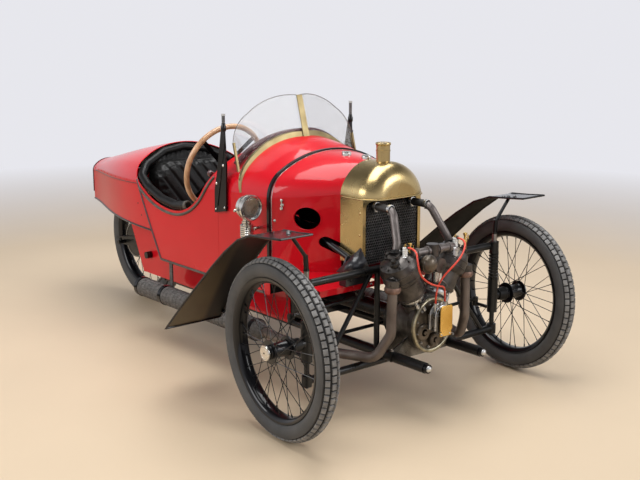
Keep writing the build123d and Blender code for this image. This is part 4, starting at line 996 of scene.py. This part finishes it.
# Points and normals round the body at one distance along it, up to an angle each way from straight up.
def onArch(x, reach, centre, lift, steps=40):
    hits = []
    for i in range(steps + 1):
        away = Vector((0, *onCircle(1, reach * (2 * i / steps - 1))))
        spot, normal = bodySurface.ray_cast(Vector((x, 0, centre)) + away, -away)[:2]
        if spot:
            hits.append((spot + normal * lift, normal))
    return hits


# A half-round strip along surface points, width across and height above the surface.
def strip(shape, hits, width, height, sides=10):
    spots, normals = [spot for spot, _ in hits], [normal for _, normal in hits]
    return shape.sweep(spots, width / 2, sides, squash=(normals, height * 2 / width))


# The same turned head on the body's side at each of these (x, z) spots.
def studsOn(shape, side, spots, profile, sides=12, surface=bodySurface):
    for spot, normal in onSide(side, spots, surface=surface):
        shape.stud(spot, normal, profile, sides)


rim = {
    "low": (-0.138, 0.632), "back": 0.5942, "front": 0.3131, "steps": 14, "bead": 0.017,
    "foot": (0.102, 0.744), "slope": (0.643, 0.766), "reaches": (0.03, 0.07, 0.11),
}


# The cockpit rim's curve in side view, moved down by an offset.
def rimCurve(offset):
    x, z = rim["low"]
    spots = []
    for radius, start, end in ((rim["back"], -30, 0), (rim["front"], 0, 50)):
        for i in range(rim["steps"] + 1):
            across, high = onCircle(radius + offset, start + (end - start) * i / rim["steps"])
            spots.append((x + across, z + radius - high))
    (x, z), (run, rise) = rim["foot"], rim["slope"]
    return spots + [
        (x + reach * run + offset * rise, z + reach * rise - offset * run) for reach in rim["reaches"]
    ]


# The slanted joint between the cockpit's side and the tail, and what runs along the tail from it
seam = {"x": -0.481, "z": 0.741, "slope": 0.64, "low": 0.3865, "edge": 0.509, "top": 0.7105}


def seamX(z):
    return seam["x"] + (seam["z"] - z) * seam["slope"]


slantStrip = [(seamX(z) + 0.0015, z) for z in [0.732 - 0.0345 * i for i in range(11)]]
lowBead = [(seamX(seam["low"]) + 0.002 + 0.0393 * i, seam["low"]) for i in range(21)]
tailEdge = [(seamX(seam["edge"]) - 0.004 - 0.05 * i, seam["edge"]) for i in range(21)]
tailSeam = [(seamX(seam["top"]) - 0.006 - 0.0446 * i, 0.7138 - 0.00242 * i) for i in range(21)]
tailScrews = [(x, z + 0.011) for x, z in tailSeam[1::2]]
sillScrews = [(x, 0.404) for x in (0.03, 0.12, 0.21, 0.30, 0.39, 0.48)]
seamPins = [(-0.4713, 0.6186), (-0.4359, 0.5659), (-0.3995, 0.509)]
catch = [(0.0075, -0.001), (0.0075, 0.002), (0.004, 0.0035), (0.004, 0.009), (0, 0.010)]
catchStud = [(0.006, -0.001), (0.006, 0.001), (0.003, 0.003), (0, 0.0035)]
screwHead = [(0.0045, -0.001), (0.0045, 0.0004), (0.0026, 0.0018), (0, 0.0022)]

beads, maroons, dark, studs, redStuds = Shape(), Shape(), Shape(), Shape(), Shape()
for side in sides.values():
    strip(beads, onSide(side, rimCurve(rim["bead"]), 0.001), 0.0125, 0.007)
    strip(maroons, onSide(side, slantStrip, 0.0008), 0.013, 0.004)
    strip(beads, onSide(side, lowBead, 0.0008), 0.011, 0.006)
    strip(dark, onSide(side, tailEdge, 0.0006), 0.009, 0.005)
    strip(dark, onSide(side, tailSeam, 0.0002), 0.0032, 0.0012, 6)
    studsOn(redStuds, side, tailScrews, screwHead)
    studsOn(dark, side, seamPins, [(0.0045, -0.002), (0.0045, 0.0006), (0, 0.0006)])
    studsOn(redStuds, side, sillScrews, screwHead)

    # Spring catch on the bonnet's side and the stud below it
    for spot, normal in onSide(side, [(0.6158, 0.7530)]):
        studs.stud(spot, normal, catch, 16)
        studs.rod(spot + normal * 0.006 + upward * 0.020, spot + normal * 0.007 - upward * 0.012, 0.0032)
        for out, rise, radius in ((0.0055, 0.019, 0.006), (0.0060, -0.013, 0.0068)):
            end = spot + normal * out + upward * rise
            knob = [(0, -0.004), (radius, -0.002), (radius, 0.002), (0, 0.004)]
            studs.lathe(alongY(end, spot + normal), knob, 12)
    studsOn(studs, side, [(0.5875, 0.6884)], catchStud, 14)

strip(studs, onArch(0.5765, 112, 0.6, 0.0002), 0.0036, 0.0018, 6)
strip(maroons, onArch(-1.352, 125, 0.61, 0.0008), 0.018, 0.005)
beads.piece("bodyBeads", "beading")
maroons.piece("bodyStrips", "maroon")
dark.piece("bodyEdges", "black_paint")
redStuds.piece("panelScrews", "red_paint")

# Edges of the bonnet's holes, and painted shade on its inside faces
hole = {"x": 0.701, "z": 0.704, "radius": 0.0445 * 1.03}
circle = [onCircle(hole["radius"], turn) for turn in range(0, 360, 10)]
holeEdges = Shape()
for side in sides.values():
    hits = onSide(side, [(hole["x"] + high, hole["z"] + across) for across, high in circle], 0.0002)
    strip(holeEdges, hits + hits[:1], 0.0035, 0.002, 6)
holeEdges.piece("bonnetHoleEdges", "red_paint")
# Painted shade: the bonnet's inward faces get a near black finish
paintWhere(
    "bonnet", "paintedShadeInside",
    lambda f: Vector((0, f.center.y, max(f.center.z - 0.72, 0))).dot(f.normal) < -0.01,
)

# Radiator: honeycomb cells in the mouth, dome edge, cap and screws
core = {"front": 0.9322, "pitch": 0.0122, "half": 0.139, "low": 0.549, "high": 0.787}
hexagon = [onCircle(core["pitch"] * 0.577, turn) for turn in range(0, 360, 60)]
cell = Shape()
cell.skinned([
    cell.spots((x, y * scale, z * scale) for y, z in hexagon)
    for x, scale in ((0.0, 0.86), (0.003, 0.80), (0.0034, 0.97), (0.0022, 1.0))
])
cells = copies(
    gridTree, cell.pattern("coreCell"), "coreMetal", Across=int(2 * core["half"] / core["pitch"]),
    Rows=int((core["high"] - core["low"]) / core["pitch"] / 0.866), Pitch=core["pitch"],
)
shift = Matrix.Translation((core["front"], -core["half"] + core["pitch"] * 0.3, core["low"]))
Shape().mesh(cells, shift).piece("coreCells", "coreMetal")
dome = []
for i in range(61):
    across, ahead = onCircle(1, 118 * (i / 30 - 1))
    away = Vector((ahead, across, 0))
    spot, normal = shellSurface.ray_cast(Vector((0.86, 0, 0.7995)) + away * 0.5, -away)[:2]
    if spot:
        dome.append((spot, normal))
lip = Shape()
strip(lip, dome, 0.009, 0.006, 8)
cap = alongY((0.88, 0, 0.964), (0.88, 0, 2))
lip.lathe(cap, [(0.0265, 0.002), (0.0285, 0.003), (0.0285, 0.0085), (0.0265, 0.0095)], 40, loop=True)
knurl = pattern("knurl", [
    (-0.0016, -0.008, 0), (0.0016, -0.008, 0), (0.0016, 0.008, 0), (-0.0016, 0.008, 0), (0, -0.008, 0.0014),
    (0, 0.008, 0.0014),
], [(0, 1, 4), (2, 3, 5), (1, 2, 5, 4), (3, 0, 4, 5)])
lip.mesh(copies(ringTree, knurl, "polished_brass", Count=24, Radius=0.0246, Offset=0.022, Phase=0.0), cap)
shellScrews = [(0.92, z) for z in (0.575, 0.66, 0.745)]
for side in sides.values():
    head = [(0.005, -0.001), (0.005, 0.0005), (0.003, 0.002), (0, 0.0024)]
    studsOn(lip, side, shellScrews, head, surface=shellSurface)
lip.piece("radiatorTrim", "polished_brass", angle=50)

# Front tray: screws, and the black bracket and gaiter of the steering column
paintWhere("front_tray", "gaiterLeather", lambda f: 0.4945 < f.center.z < 0.66 and f.center.x < 0.93)
for y in (-0.150, -0.110, 0.110, 0.150):
    head = [(0.005, -0.004), (0.005, 0.001), (0.003, 0.0026), (0, 0.003)]
    studs.stud((0.9802, y, 0.482), forward, head, 14)
for x, y in ((0.63, 0.355), (0.75, 0.29), (0.83, 0.22)):
    for side in (-1, 1):
        head = [(0.006, -0.001), (0.006, 0.0012), (0.0035, 0.0034), (0, 0.004)]
        studs.stud((x, side * y, 0.4925), upward, head, 14)
studs.piece("bodyStuds", "nickel")
column = {
    "front": 0.9835, "apex": (-0.207, 0.632), "low": 0.5315, "right": -0.2560, "left": -0.1590,
    "deep": 0.085,
}
gusset = Shape()
apex, right, left, rear = gusset.spots((
    (column["front"], *column["apex"]), (column["front"] + 0.005, column["right"], column["low"]),
    (column["front"] + 0.005, column["left"], column["low"]),
    (column["front"] - column["deep"], column["right"], column["low"]),
))
gusset.work.faces.new((right, left, apex))
gusset.work.faces.new((rear, right, apex))
gusset = gusset.piece("columnGusset", "gaiterLeather", angle=20)
gusset.modifiers.new("thickness", "SOLIDIFY").thickness = 0.003
bracket = Shape().box(
    (0.952, column["right"] - 0.030, 0.4935), (column["front"] + 0.006, column["left"] - 0.006, 0.5285),
)
for y in (-0.262, -0.175):
    bracket.bolt((column["front"] + 0.005, y, 0.512), forward, 0.006, 0.004)
bracket.piece("columnBracket", "gaiterLeather", angle=20, bevel=0.0015)
Shape().box((0.9772, -0.240, 0.4692), (0.9802, -0.100, 0.4912)).piece("trayApron", "red_paint", bevel=0.001)

# Silencers: wound wrapping with bands
silencer = {
    "y": 0.345, "z": 0.228, "back": -0.408, "length": 0.905, "radius": 0.0432, "turns": 32, "steps": 18,
    "bands": (-0.19, 0.40, -0.40, 0.505),
}
wraps, bands = Shape(), Shape()
for side in sides.values():
    y, z = side * silencer["y"], silencer["z"]
    last = silencer["turns"] * silencer["steps"]
    helix = []
    for i in range(last + 1):
        across, high = onCircle(silencer["radius"], 360 * i / silencer["steps"])
        helix.append((silencer["back"] + silencer["length"] * i / last, y + across, z + high))
    wraps.sweep(helix, 0.0022, 5)
    for x in silencer["bands"]:
        band = [(0.0425, -0.011), (0.0468, -0.010), (0.0468, 0.010), (0.0425, 0.011)]
        bands.stud((x, y, z), forward, band, 40, loop=True)
        bands.bolt((x, side * 0.391, 0.236), leftward * side, 0.0065, 0.006)
wraps.piece("silencerWindings", "silencer_wrap")
bands.piece("silencerBands", "black_paint")
print("body made")

# Windscreen: maroon roll behind the brass base strip, bright glass edges and the pillar's clamp
screen = {"x": 0.402, "half": 0.305, "sweep": 0.067, "base": 0.990, "rake": math.tan(math.radians(15.5))}
glassTop = [(0.004, 1.157), (0.150, 1.140), (0.240, 1.090), (0.300, 1.035), (0.325, 0.975)]
screenRoll = {
    "reach": 98, "steps": 60, "behind": 0.019, "sweep": 0.074, "lift": 0.017, "radius": 0.0125, "low": 0.86,
}


# The screen's plane at a height, in the middle of the car.
def screenX(z):
    return screen["x"] - (z - screen["base"]) * screen["rake"]


# Points on the round arc through three points.
def arcThrough(a, b, c, steps=12):
    toB, toC = b - a, c - a
    normal = toB.cross(toC)
    away = toC.length_squared * normal.cross(toB) - toB.length_squared * normal.cross(toC)
    middle = a + away / (2 * normal.length_squared)
    start = a - middle
    turn = start.angle(b - middle) + (b - middle).angle(c - middle)
    return [middle + Matrix.Rotation(turn * i / steps, 3, normal) @ start for i in range(steps + 1)]


rollSpots = []
for i in range(screenRoll["steps"] + 1):
    away = Vector((0, *onCircle(1, screenRoll["reach"] * (2 * i / screenRoll["steps"] - 1))))
    x = screen["x"] - screenRoll["behind"] - screenRoll["sweep"] * abs(away.y)
    spot, normal = bodySurface.ray_cast(Vector((x, 0, 0.74)) + away, -away)[:2]
    if spot and spot.z > screenRoll["low"]:
        rollSpots.append(spot + normal * screenRoll["lift"])
Shape().sweep(rollSpots, screenRoll["radius"], 12).piece("screenRoll", "maroon")
glassEdge = Shape()
for side in sides.values():
    corners = [Vector((screenX(z) - screen["sweep"] * y / screen["half"], side * y, z)) for y, z in glassTop]
    glassEdge.sweep(arcThrough(*corners[:3]) + arcThrough(*corners[2:])[1:], 0.0015, 6)
glassEdge.piece("glassEdge", "metalPipe")
strap = Shape()
strap.skinned([
    strap.spots((screenX(z) + out, y, z) for out, y in ((0.0065, -w), (0.0065, w), (0.0090, w), (0.0090, -w)))
    for z, w in ((0.986, 0.0165), (1.1575, 0.0145))
])
strap.piece("pillarStrap", "agedBrass", bevel=0.0008)
paintWhere("windscreen_frame", "agedBrass", lambda f: True)

# Filler: a plain sleeve with a rolled lip round the neck
Shape().stud((0.880, 0, 0.920), upward, [
    (0, 0), (0.0272, 0), (0.0272, 0.070), (0.0295, 0.0725), (0.0302, 0.0755), (0.0302, 0.0790),
    (0.0285, 0.0812), (0.0240, 0.0812), (0.0235, 0.0760), (0, 0.0760),
], 44).piece("fillerSleeve", "polished_brass")

# Screen stanchions: foot bolts, knuckles and grey posts, with the left one's red knob
pins = Shape()
paintWhere("screen_brackets", "postGrey", lambda f: f.center.z > 1.037)
for name, x, top in (("right", 0.293, 1.088), ("left", 0.308, 1.110)):
    side = sides[name]
    y = side * 0.3405
    for along, level in ((-0.062, 0.690), (0.002, 0.704), (-0.004, 0.880), (-0.055, 0.800)):
        head = [(0.0062, 0.0), (0.0062, 0.002), (0.004, 0.004), (0, 0.0045)]
        pins.stud((x + along, side * 0.3435, level), leftward * side, head, 14)
    knuckle = [
        (0, 0.0), (0.0095, 0.0), (0.0115, 0.006), (0.0115, 0.020), (0.0085, 0.026), (0.0085, 0.032),
        (0.0072, 0.034),
    ]
    clamps = Shape().stud((x - 0.002, y, 1.02), upward, knuckle, 20)
    ridge = [(x - 0.050 + 0.0068 * i, y + side * 0.0042, 0.705 + 0.031 * i) for i in range(10)]
    clamps.sweep(ridge, [0.0032 - 0.00018 * i for i in range(10)], 8)
    clamps.piece("stanchionKnuckle" + name.capitalize(), "black_paint")
    pins.rod((x - 0.002, y, top - 0.004), (x - 0.002, y, top + 0.004), 0.0084, 16)
Shape().stud((0.205, -0.348, 0.838), -leftward, [
    (0, 0.016), (0.010, 0.014), (0.0135, 0.008), (0.0135, 0.002), (0.010, -0.003), (0.004, -0.014),
    (0, -0.014),
], 20).piece("redKnob", "redKnob")

# Side lamps: bezel, rings, knob and ribbed stem, and the glass
lamp = {"x": 0.532, "y": 0.400, "z": 0.745, "stemX": 0.526, "stemZ": 0.620, "lensX": 0.554}
bezel = [
    (0.0435, 0.0235), (0.0485, 0.0235), (0.0515, 0.026), (0.0515, 0.0285), (0.0475, 0.031),
    (0.0435, 0.0285),
]
bodyRing = [(0.0498, 0.004), (0.0512, 0.005), (0.0512, 0.009), (0.0498, 0.010)]
knobProfile = [(0, 0), (0.006, 0.001), (0.007, 0.004), (0.005, 0.008), (0, 0.009)]
lampGlass = [(0.0435, 0.0255), (0.034, 0.0285), (0.020, 0.0303), (0.008, 0.0310), (0, 0.0311)]
paintWhere("side_lamps", "lampLens", lambda f: abs(f.center.x - lamp["lensX"]) < 0.0005 and f.normal.x > 0.9)
for name, side in sides.items():
    y, low = side * lamp["y"], lamp["z"] - 0.006
    face, foot = (lamp["x"], y, lamp["z"]), (lamp["stemX"], y, lamp["stemZ"])
    trim = Shape().stud(face, forward, bezel, 48, loop=True).stud(face, forward, bodyRing, 48, loop=True)
    for x in (lamp["x"] + 0.006, lamp["x"]):
        trim.rod((x, y + side * 0.048, low), (x, y + side * 0.060, low), 0.0026, 8)
    trim.stud((lamp["x"] + 0.003, y + side * 0.058, low), leftward * side, knobProfile, 14)
    for level, radius in zip((0.010, 0.018, 0.026, 0.034, 0.042, 0.052), (0.0262,) + (0.0264,) * 5):
        rib = [(radius - 0.001, level - 0.0025), (radius + 0.0012, level), (radius - 0.001, level + 0.0025)]
        trim.stud(foot, upward, rib, 32)
    trim.stud(foot, upward, [(0.016, 0.062), (0.020, 0.064), (0.020, 0.069), (0.016, 0.071)], 28, loop=True)
    trim.piece("lampTrim" + name.capitalize(), "nickel")
    Shape().stud(face, forward, lampGlass, 40).piece("lampGlass" + name.capitalize(), "screen_glass")
    level = lamp["z"] - 0.090
    pins.rod((lamp["stemX"], y - side * 0.030, level), (lamp["stemX"], y - side * 0.042, level), 0.010, 16)
pins.piece("trimPins", "nickel")

# Wings: undersides with painted reflection and painted shade, wired edges and stay bolts
wing = {
    "outer": 0.6955, "innerFront": 0.5585, "innerBack": 0.4345, "taperStart": 1.007, "taperLength": 0.635,
    "wire": 0.0042,
}
wingLine = [
    (98, 752), (20, 745), (-70, 740), (-145, 712), (-227, 655), (-305, 590), (-410, 495), (-520, 395),
    (-646, 273),
]


# How far from the car's middle the wing's inner edge runs at a distance along it.
def wingInner(x):
    taper = min(max((wing["taperStart"] - x) / wing["taperLength"], 0), 1)
    return wing["innerFront"] + (wing["innerBack"] - wing["innerFront"]) * taper


for name, side in sides.items():
    # The near wing's underside gets wingUnder's painted reflection and painted shade; the far wing's gets a
    # matt near black finish
    paintWhere(
        "wing_" + name, "wingUnder" if side < 0 else "wingShade",
        lambda f: f.normal.z < -0.2 or (f.normal.z < 0 and f.normal.x > 0.3),
    )
    spots = [(1.027 + x / 1000, (z - 1.5) / 1000) for x, z in wingLine]
    outer = [(x, side * wing["outer"], z) for x, z in spots]
    inner = [(x, side * wingInner(x), z) for x, z in spots]
    wires = Shape()
    for line in (outer, inner, (inner[0], outer[0]), (inner[-1], outer[-1])):
        wires.sweep(line, wing["wire"], 8)
    wires.piece("wingWires" + name.capitalize(), "black_paint")
    bolts = Shape()
    for x, y in ((1.027, 0.585), (1.048, 0.600), (1.012, 0.572)):
        head = [(0.0075, -0.001), (0.0075, 0.001), (0.004, 0.0042), (0, 0.005)]
        bolts.stud((x, side * y, 0.7455 + (x - 1.027) * 0.06), upward, head, 14)
    bolts.piece("wingBolts" + name.capitalize(), "postGrey")

# Front pillars: black springs and clamps round the cross tube's eyes
pillar = {"x": 1.027, "y": 0.505, "coil": 0.0175, "low": 0.407, "length": 0.114, "turns": 9, "steps": 16}
paintWhere("sliding_pillars", "frame_black", lambda f: f.center.z < 0.56)
for name, side in sides.items():
    x, y = pillar["x"], side * pillar["y"]
    coil = []
    for i in range(pillar["turns"] * pillar["steps"] + 1):
        turns = i / pillar["steps"]
        across, ahead = onCircle(pillar["coil"], 360 * turns)
        rise = pillar["low"] + pillar["length"] * turns / pillar["turns"]
        coil.append((x + ahead, y + across, rise))
    Shape().sweep(coil, 0.0032, 7).piece("pillarCoil" + name.capitalize(), "darkIron")
    collars = Shape()
    for level, radius in ((0.404, 0.0215), (0.5235, 0.0195), (0.600, 0.011)):
        ring = [(0, level - 0.003), (radius, level - 0.003), (radius, level + 0.003), (0, level + 0.003)]
        collars.stud((x, y, 0), upward, ring, 24)
    collars.bolt((x, y, 0.6), upward, 0.012, 0.010)
    collars.bolt((x, y, 0.170), -upward, 0.012, 0.008)
    collars.piece("pillarCollars" + name.capitalize(), "frame_black")

# Steering wheel: brass hub nut
hub = Vector((0.042, -0.170, 0.832))
axis = Vector((-0.9537, 0, 0.3007))
boss = [(0, 0.030), (0.010, 0.030), (0.016, 0.024), (0.018, 0.018), (0.018, 0.004), (0, 0.004)]
Shape().stud(hub, axis, boss, 24).bolt(hub + axis * 0.028, axis, 0.011, 0.007).piece(
    "wheelHubNut", "fittingBrass", body="column",
)
print("trim made")

# Padded leather: each closed soft form is remeshed, blown up a little as cloth and gathered at its seams
cloth = {
    "quality": 5, "mass": 0.3, "use_pressure": True, "uniform_pressure_force": 4.0, "tension_stiffness": 18,
    "compression_stiffness": 18, "bending_stiffness": 2,
}
clothFrames = 20
channel = {"depth": 0.006, "width": 0.006}


# Sewn channels: the leather drops along lines a pitch apart, square to a direction.
def channelDrop(spot, direction, pitch, face):
    reach = (spot.dot(direction) / pitch) % 1.0
    near = min(reach, 1 - reach) * pitch
    return face * (-channel["depth"] * math.exp(-(near / channel["width"]) ** 2))


def squabDrop(spot):
    if spot.x < -0.52 or spot.z > 0.80:
        return Vector((0, 0, 0))
    return channelDrop(spot, Vector((0, 0.82, 0.57)), 0.052, Vector((1, 0, 0.17)))


def cushionDrop(spot):
    return channelDrop(spot, leftward, 0.064, upward) if spot.z >= 0.47 else Vector((0, 0, 0))


# Nodes, shares of their size before they're blown up, voxel size, furthest move and channels
pads = {
    "seatCushion": ("seat_cushion", (0.97, 0.965, 0.90), 0.006, 0.010, cushionDrop),
    "seatSquab": ("seat_back", (0.90, 0.965, 0.965), 0.006, 0.012, squabDrop),
    "coamingRoll": ("coaming_roll", (1.0, 1.0, 1.0), 0.005, 0.003, None),
}


def applyModifiers(piece):
    mesh = evaluated(piece)
    piece.modifiers.clear()
    piece.data = mesh


# Blows the piece up as cloth, each corner moving no further than a limit.
def inflate(piece, limit):
    start = [v.co.copy() for v in piece.data.vertices]
    puff = piece.modifiers.new("cloth", "CLOTH")
    for label, value in cloth.items():
        setattr(puff.settings, label, value)
    puff.settings.effector_weights.gravity = 0
    scene = bpy.context.scene
    scene.frame_end = puff.point_cache.frame_end = clothFrames
    for step in range(1, clothFrames + 1):
        scene.frame_set(step)
    applyModifiers(piece)
    scene.frame_set(1)
    for vert, before in zip(piece.data.vertices, start):
        move = vert.co - before
        if move.length > limit:
            vert.co = before + move.normalized() * limit


def makePad(name, node, shares, voxel, limit, channels):
    def shrink(corners):
        middle = sum((v.co for v in corners), Vector()) / len(corners)
        for vert in corners:
            vert.co = middle + Vector([(c - m) * share for c, m, share in zip(vert.co, middle, shares)])

    piece = pieceFrom(name, mergedMesh(node, 1e-5, shrink), "black_leather")
    remesh = piece.modifiers.new("remesh", "REMESH")
    remesh.mode = "VOXEL"
    remesh.voxel_size = voxel
    remesh.use_smooth_shade = True
    applyModifiers(piece)
    inflate(piece, limit)
    if channels:
        for vert in piece.data.vertices:
            vert.co += channels(vert.co)
    painted(piece.data, "black_leather")
    piece.modifiers.new("smooth", "SUBSURF").levels = 1
    piece.modifiers["smooth"].render_levels = 1
    piece.data.polygons.foreach_set("use_smooth", [True] * len(piece.data.polygons))
    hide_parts(node)


for name, values in pads.items():
    makePad(name, *values)

# The padded panel behind the squab, from its top up to the roll
lining = {"half": 0.262, "columns": 80, "rows": 10, "thickness": 0.004}
rollSurface = surfaceOf("coaming_roll")
paintWhere(
    "tail_deck", "black_leather",
    lambda f: (0.60 - f.center.z) * f.normal.z - f.center.y * f.normal.y > 0.03,
)
panel = Shape()
rows = []
for i in range(lining["columns"] + 1):
    y = -lining["half"] + 2 * lining["half"] * i / lining["columns"]
    levels = (0.70 + 0.004 * k for k in range(50))
    hits = (rollSurface.ray_cast(Vector((-0.30, y, z)), -forward)[0] for z in levels)
    top = next(spot for spot in hits if spot) + Vector((-0.008, 0, 0.006))
    bottom = Vector((-0.541, y, 0.795 - 0.9 * max(abs(y) - 0.16, 0)))
    column = [top.lerp(bottom, k / (lining["rows"] - 1)) for k in range(lining["rows"])]
    for k, spot in enumerate(column):
        drop = squabDrop(Vector((0, spot.y, min(spot.z, 0.8))))
        spot += drop * math.sin(math.pi * (k + 0.5) / lining["rows"])
    rows.append(panel.spots(column))
for here, after in zip(rows, rows[1:]):
    for corners in zip(here, here[1:], after[1:], after):
        panel.work.faces.new(corners)
panel = panel.piece("backPanel", "black_leather")
panel.modifiers.new("thickness", "SOLIDIFY").thickness = lining["thickness"]

# Welt cords and the grey open ends of the roll
outline = rounded((-0.186, -0.385), (0.186, -0.036), 0.034)
welts = Shape().sweep([(x, y, 0.489) for y, x in outline + outline[:1]], 0.0035, 7)
welts.piece("cushionWelt", "black_leather")
rollEnds = Shape()
for side in sides.values():
    place = alongY((-0.046, side * 0.306, 0.664), (-0.150, side * 0.304, 0.650))
    rollEnds.lathe(place, [
        (0, 0.006), (0.0135, 0.006), (0.0145, -0.0005), (0.0205, -0.0008), (0.0212, 0.003), (0.0212, 0.016),
        (0.0202, 0.018), (0.0145, 0.018), (0, 0.018),
    ], 28)
rollEnds.piece("rollEnds", "beading")
print("soft parts made")

# Stage, lights and camera
camera = {
    "place": (3.6553, -2.6455, 1.4301), "yaw": 140.03, "pitch": -12.02, "focalPixels": 991.55,
    "imageWidth": 640, "sensor": 36,
}
stage = {
    "reach": 40, "fadeStart": 2.6, "fadeEnd": 6.5, "glossReach": 5.0, "floor": (0.66, 0.52, 0.36),
    "patchy": 0.94, "backdrop": (0.80, 0.80, 0.845), "ceiling": (0.17, 0.17, 0.18), "wallTop": 0.18,
    "ceilingStart": 0.62, "fill": 0.5, "fillColour": (0.95, 0.96, 1.0),
}


def placeCamera():
    data = bpy.data.cameras.new("camera")
    data.sensor_width = camera["sensor"]
    data.lens = camera["focalPixels"] / camera["imageWidth"] * data.sensor_width
    data.clip_end = 80
    yaw, pitch = math.radians(camera["yaw"]), math.radians(camera["pitch"])
    aim = Vector((math.cos(yaw) * math.cos(pitch), math.sin(yaw) * math.cos(pitch), math.sin(pitch)))
    eye = added("camera", data)
    eye.location = camera["place"]
    eye.rotation_euler = aim.to_track_quat("-Z", "Y").to_euler()
    bpy.context.scene.camera = eye


# 1 for rays from the camera, from gloss and through glass.
def seenRays(tree):
    path = tree.nodes.new("ShaderNodeLightPath").outputs
    seen = Field(tree, path["Is Camera Ray"]) + path["Is Glossy Ray"]
    return (seen + path["Is Transmission Ray"]).maths("MINIMUM", 1.0)


# The second shader shows where the factor is 1, and the first one where it is 0.
def blendInto(tree, output, factor, first, second):
    blend = addNode(tree, "ShaderNodeMixShader", {"Fac": factor, 1: first.outputs[0], 2: second.outputs[0]})
    tree.links.new(blend.outputs["Shader"], tree.nodes[output].inputs["Surface"])


# The floor fades into the wall behind it for the rays that see it.
def placeFloor():
    finish = Finish("floorPaint", stage["floor"], 0.5)
    tree = finish.tree
    patchy = finish.noise(1.1, 5.0).between(0.3, 0.7)
    finish.set("Base Color", patchy.colours([part * stage["patchy"] for part in stage["floor"]], stage["floor"]))
    length = addNode(tree, "ShaderNodeVectorMath", {0: finish.place}, operation="LENGTH")
    gloss = Field(tree, tree.nodes.new("ShaderNodeLightPath").outputs["Is Glossy Ray"]) * -stage["glossReach"]
    fade = (Field(tree, length.outputs["Value"]) + gloss).between(stage["fadeStart"], stage["fadeEnd"])
    backdrop = addNode(tree, "ShaderNodeEmission", {"Color": (*stage["backdrop"], 1)})
    blendInto(tree, "Material Output", fade * seenRays(tree), finish.shader, backdrop)
    reach = stage["reach"]
    mesh = bpy.data.meshes.new("floor")
    corners = [(-reach, -reach, 0), (reach, -reach, 0), (reach, reach, 0), (-reach, reach, 0)]
    mesh.from_pydata(corners, [], [(0, 1, 2, 3)])
    mesh.materials.append(finish.material)
    added("floor", mesh)


def placeLight(name, place, target, size, power):
    data = bpy.data.lights.new(name, "AREA")
    data.shape = "RECTANGLE"
    data.size, data.size_y = size
    data.energy = power
    light = added(name, data)
    light.location = place
    light.rotation_euler = (Vector(target) - Vector(place)).to_track_quat("-Z", "Y").to_euler()


# The camera sees a pale wall; gloss sees that wall under a dim ceiling; matt surfaces get a plain fill.
def lightWorld():
    world = bpy.data.worlds.new("studio")
    world.use_nodes = True
    tree = world.node_tree
    fill = tree.nodes["Background"]
    fill.inputs["Color"].default_value = (*stage["fillColour"], 1)
    fill.inputs["Strength"].default_value = stage["fill"]
    direction = tree.nodes.new("ShaderNodeTexCoord").outputs["Generated"]
    parts = addNode(tree, "ShaderNodeSeparateXYZ", {"Vector": direction})
    height = Field(tree, parts.outputs["Z"]).between(stage["wallTop"], stage["ceilingStart"])
    walls = height.colours(stage["backdrop"], stage["ceiling"])
    room = addNode(tree, "ShaderNodeBackground", {"Color": walls})
    blendInto(tree, "World Output", seenRays(tree), fill, room)
    bpy.context.scene.world = world


placeCamera()
placeFloor()
placeLight("overhead", (0.3, 0.1, 3.9), (0.1, 0, 0.4), (4.2, 2.2), 150)
placeLight("front", (4.4, 1.9, 2.5), (0.6, 0, 0.6), (2.4, 1.8), 70)
placeLight("side", (-0.8, -4.4, 2.6), (0, 0, 0.6), (3.6, 1.6), 85)
lightWorld()
bpy.context.scene.view_settings.view_transform = "Standard"
print("stage set")
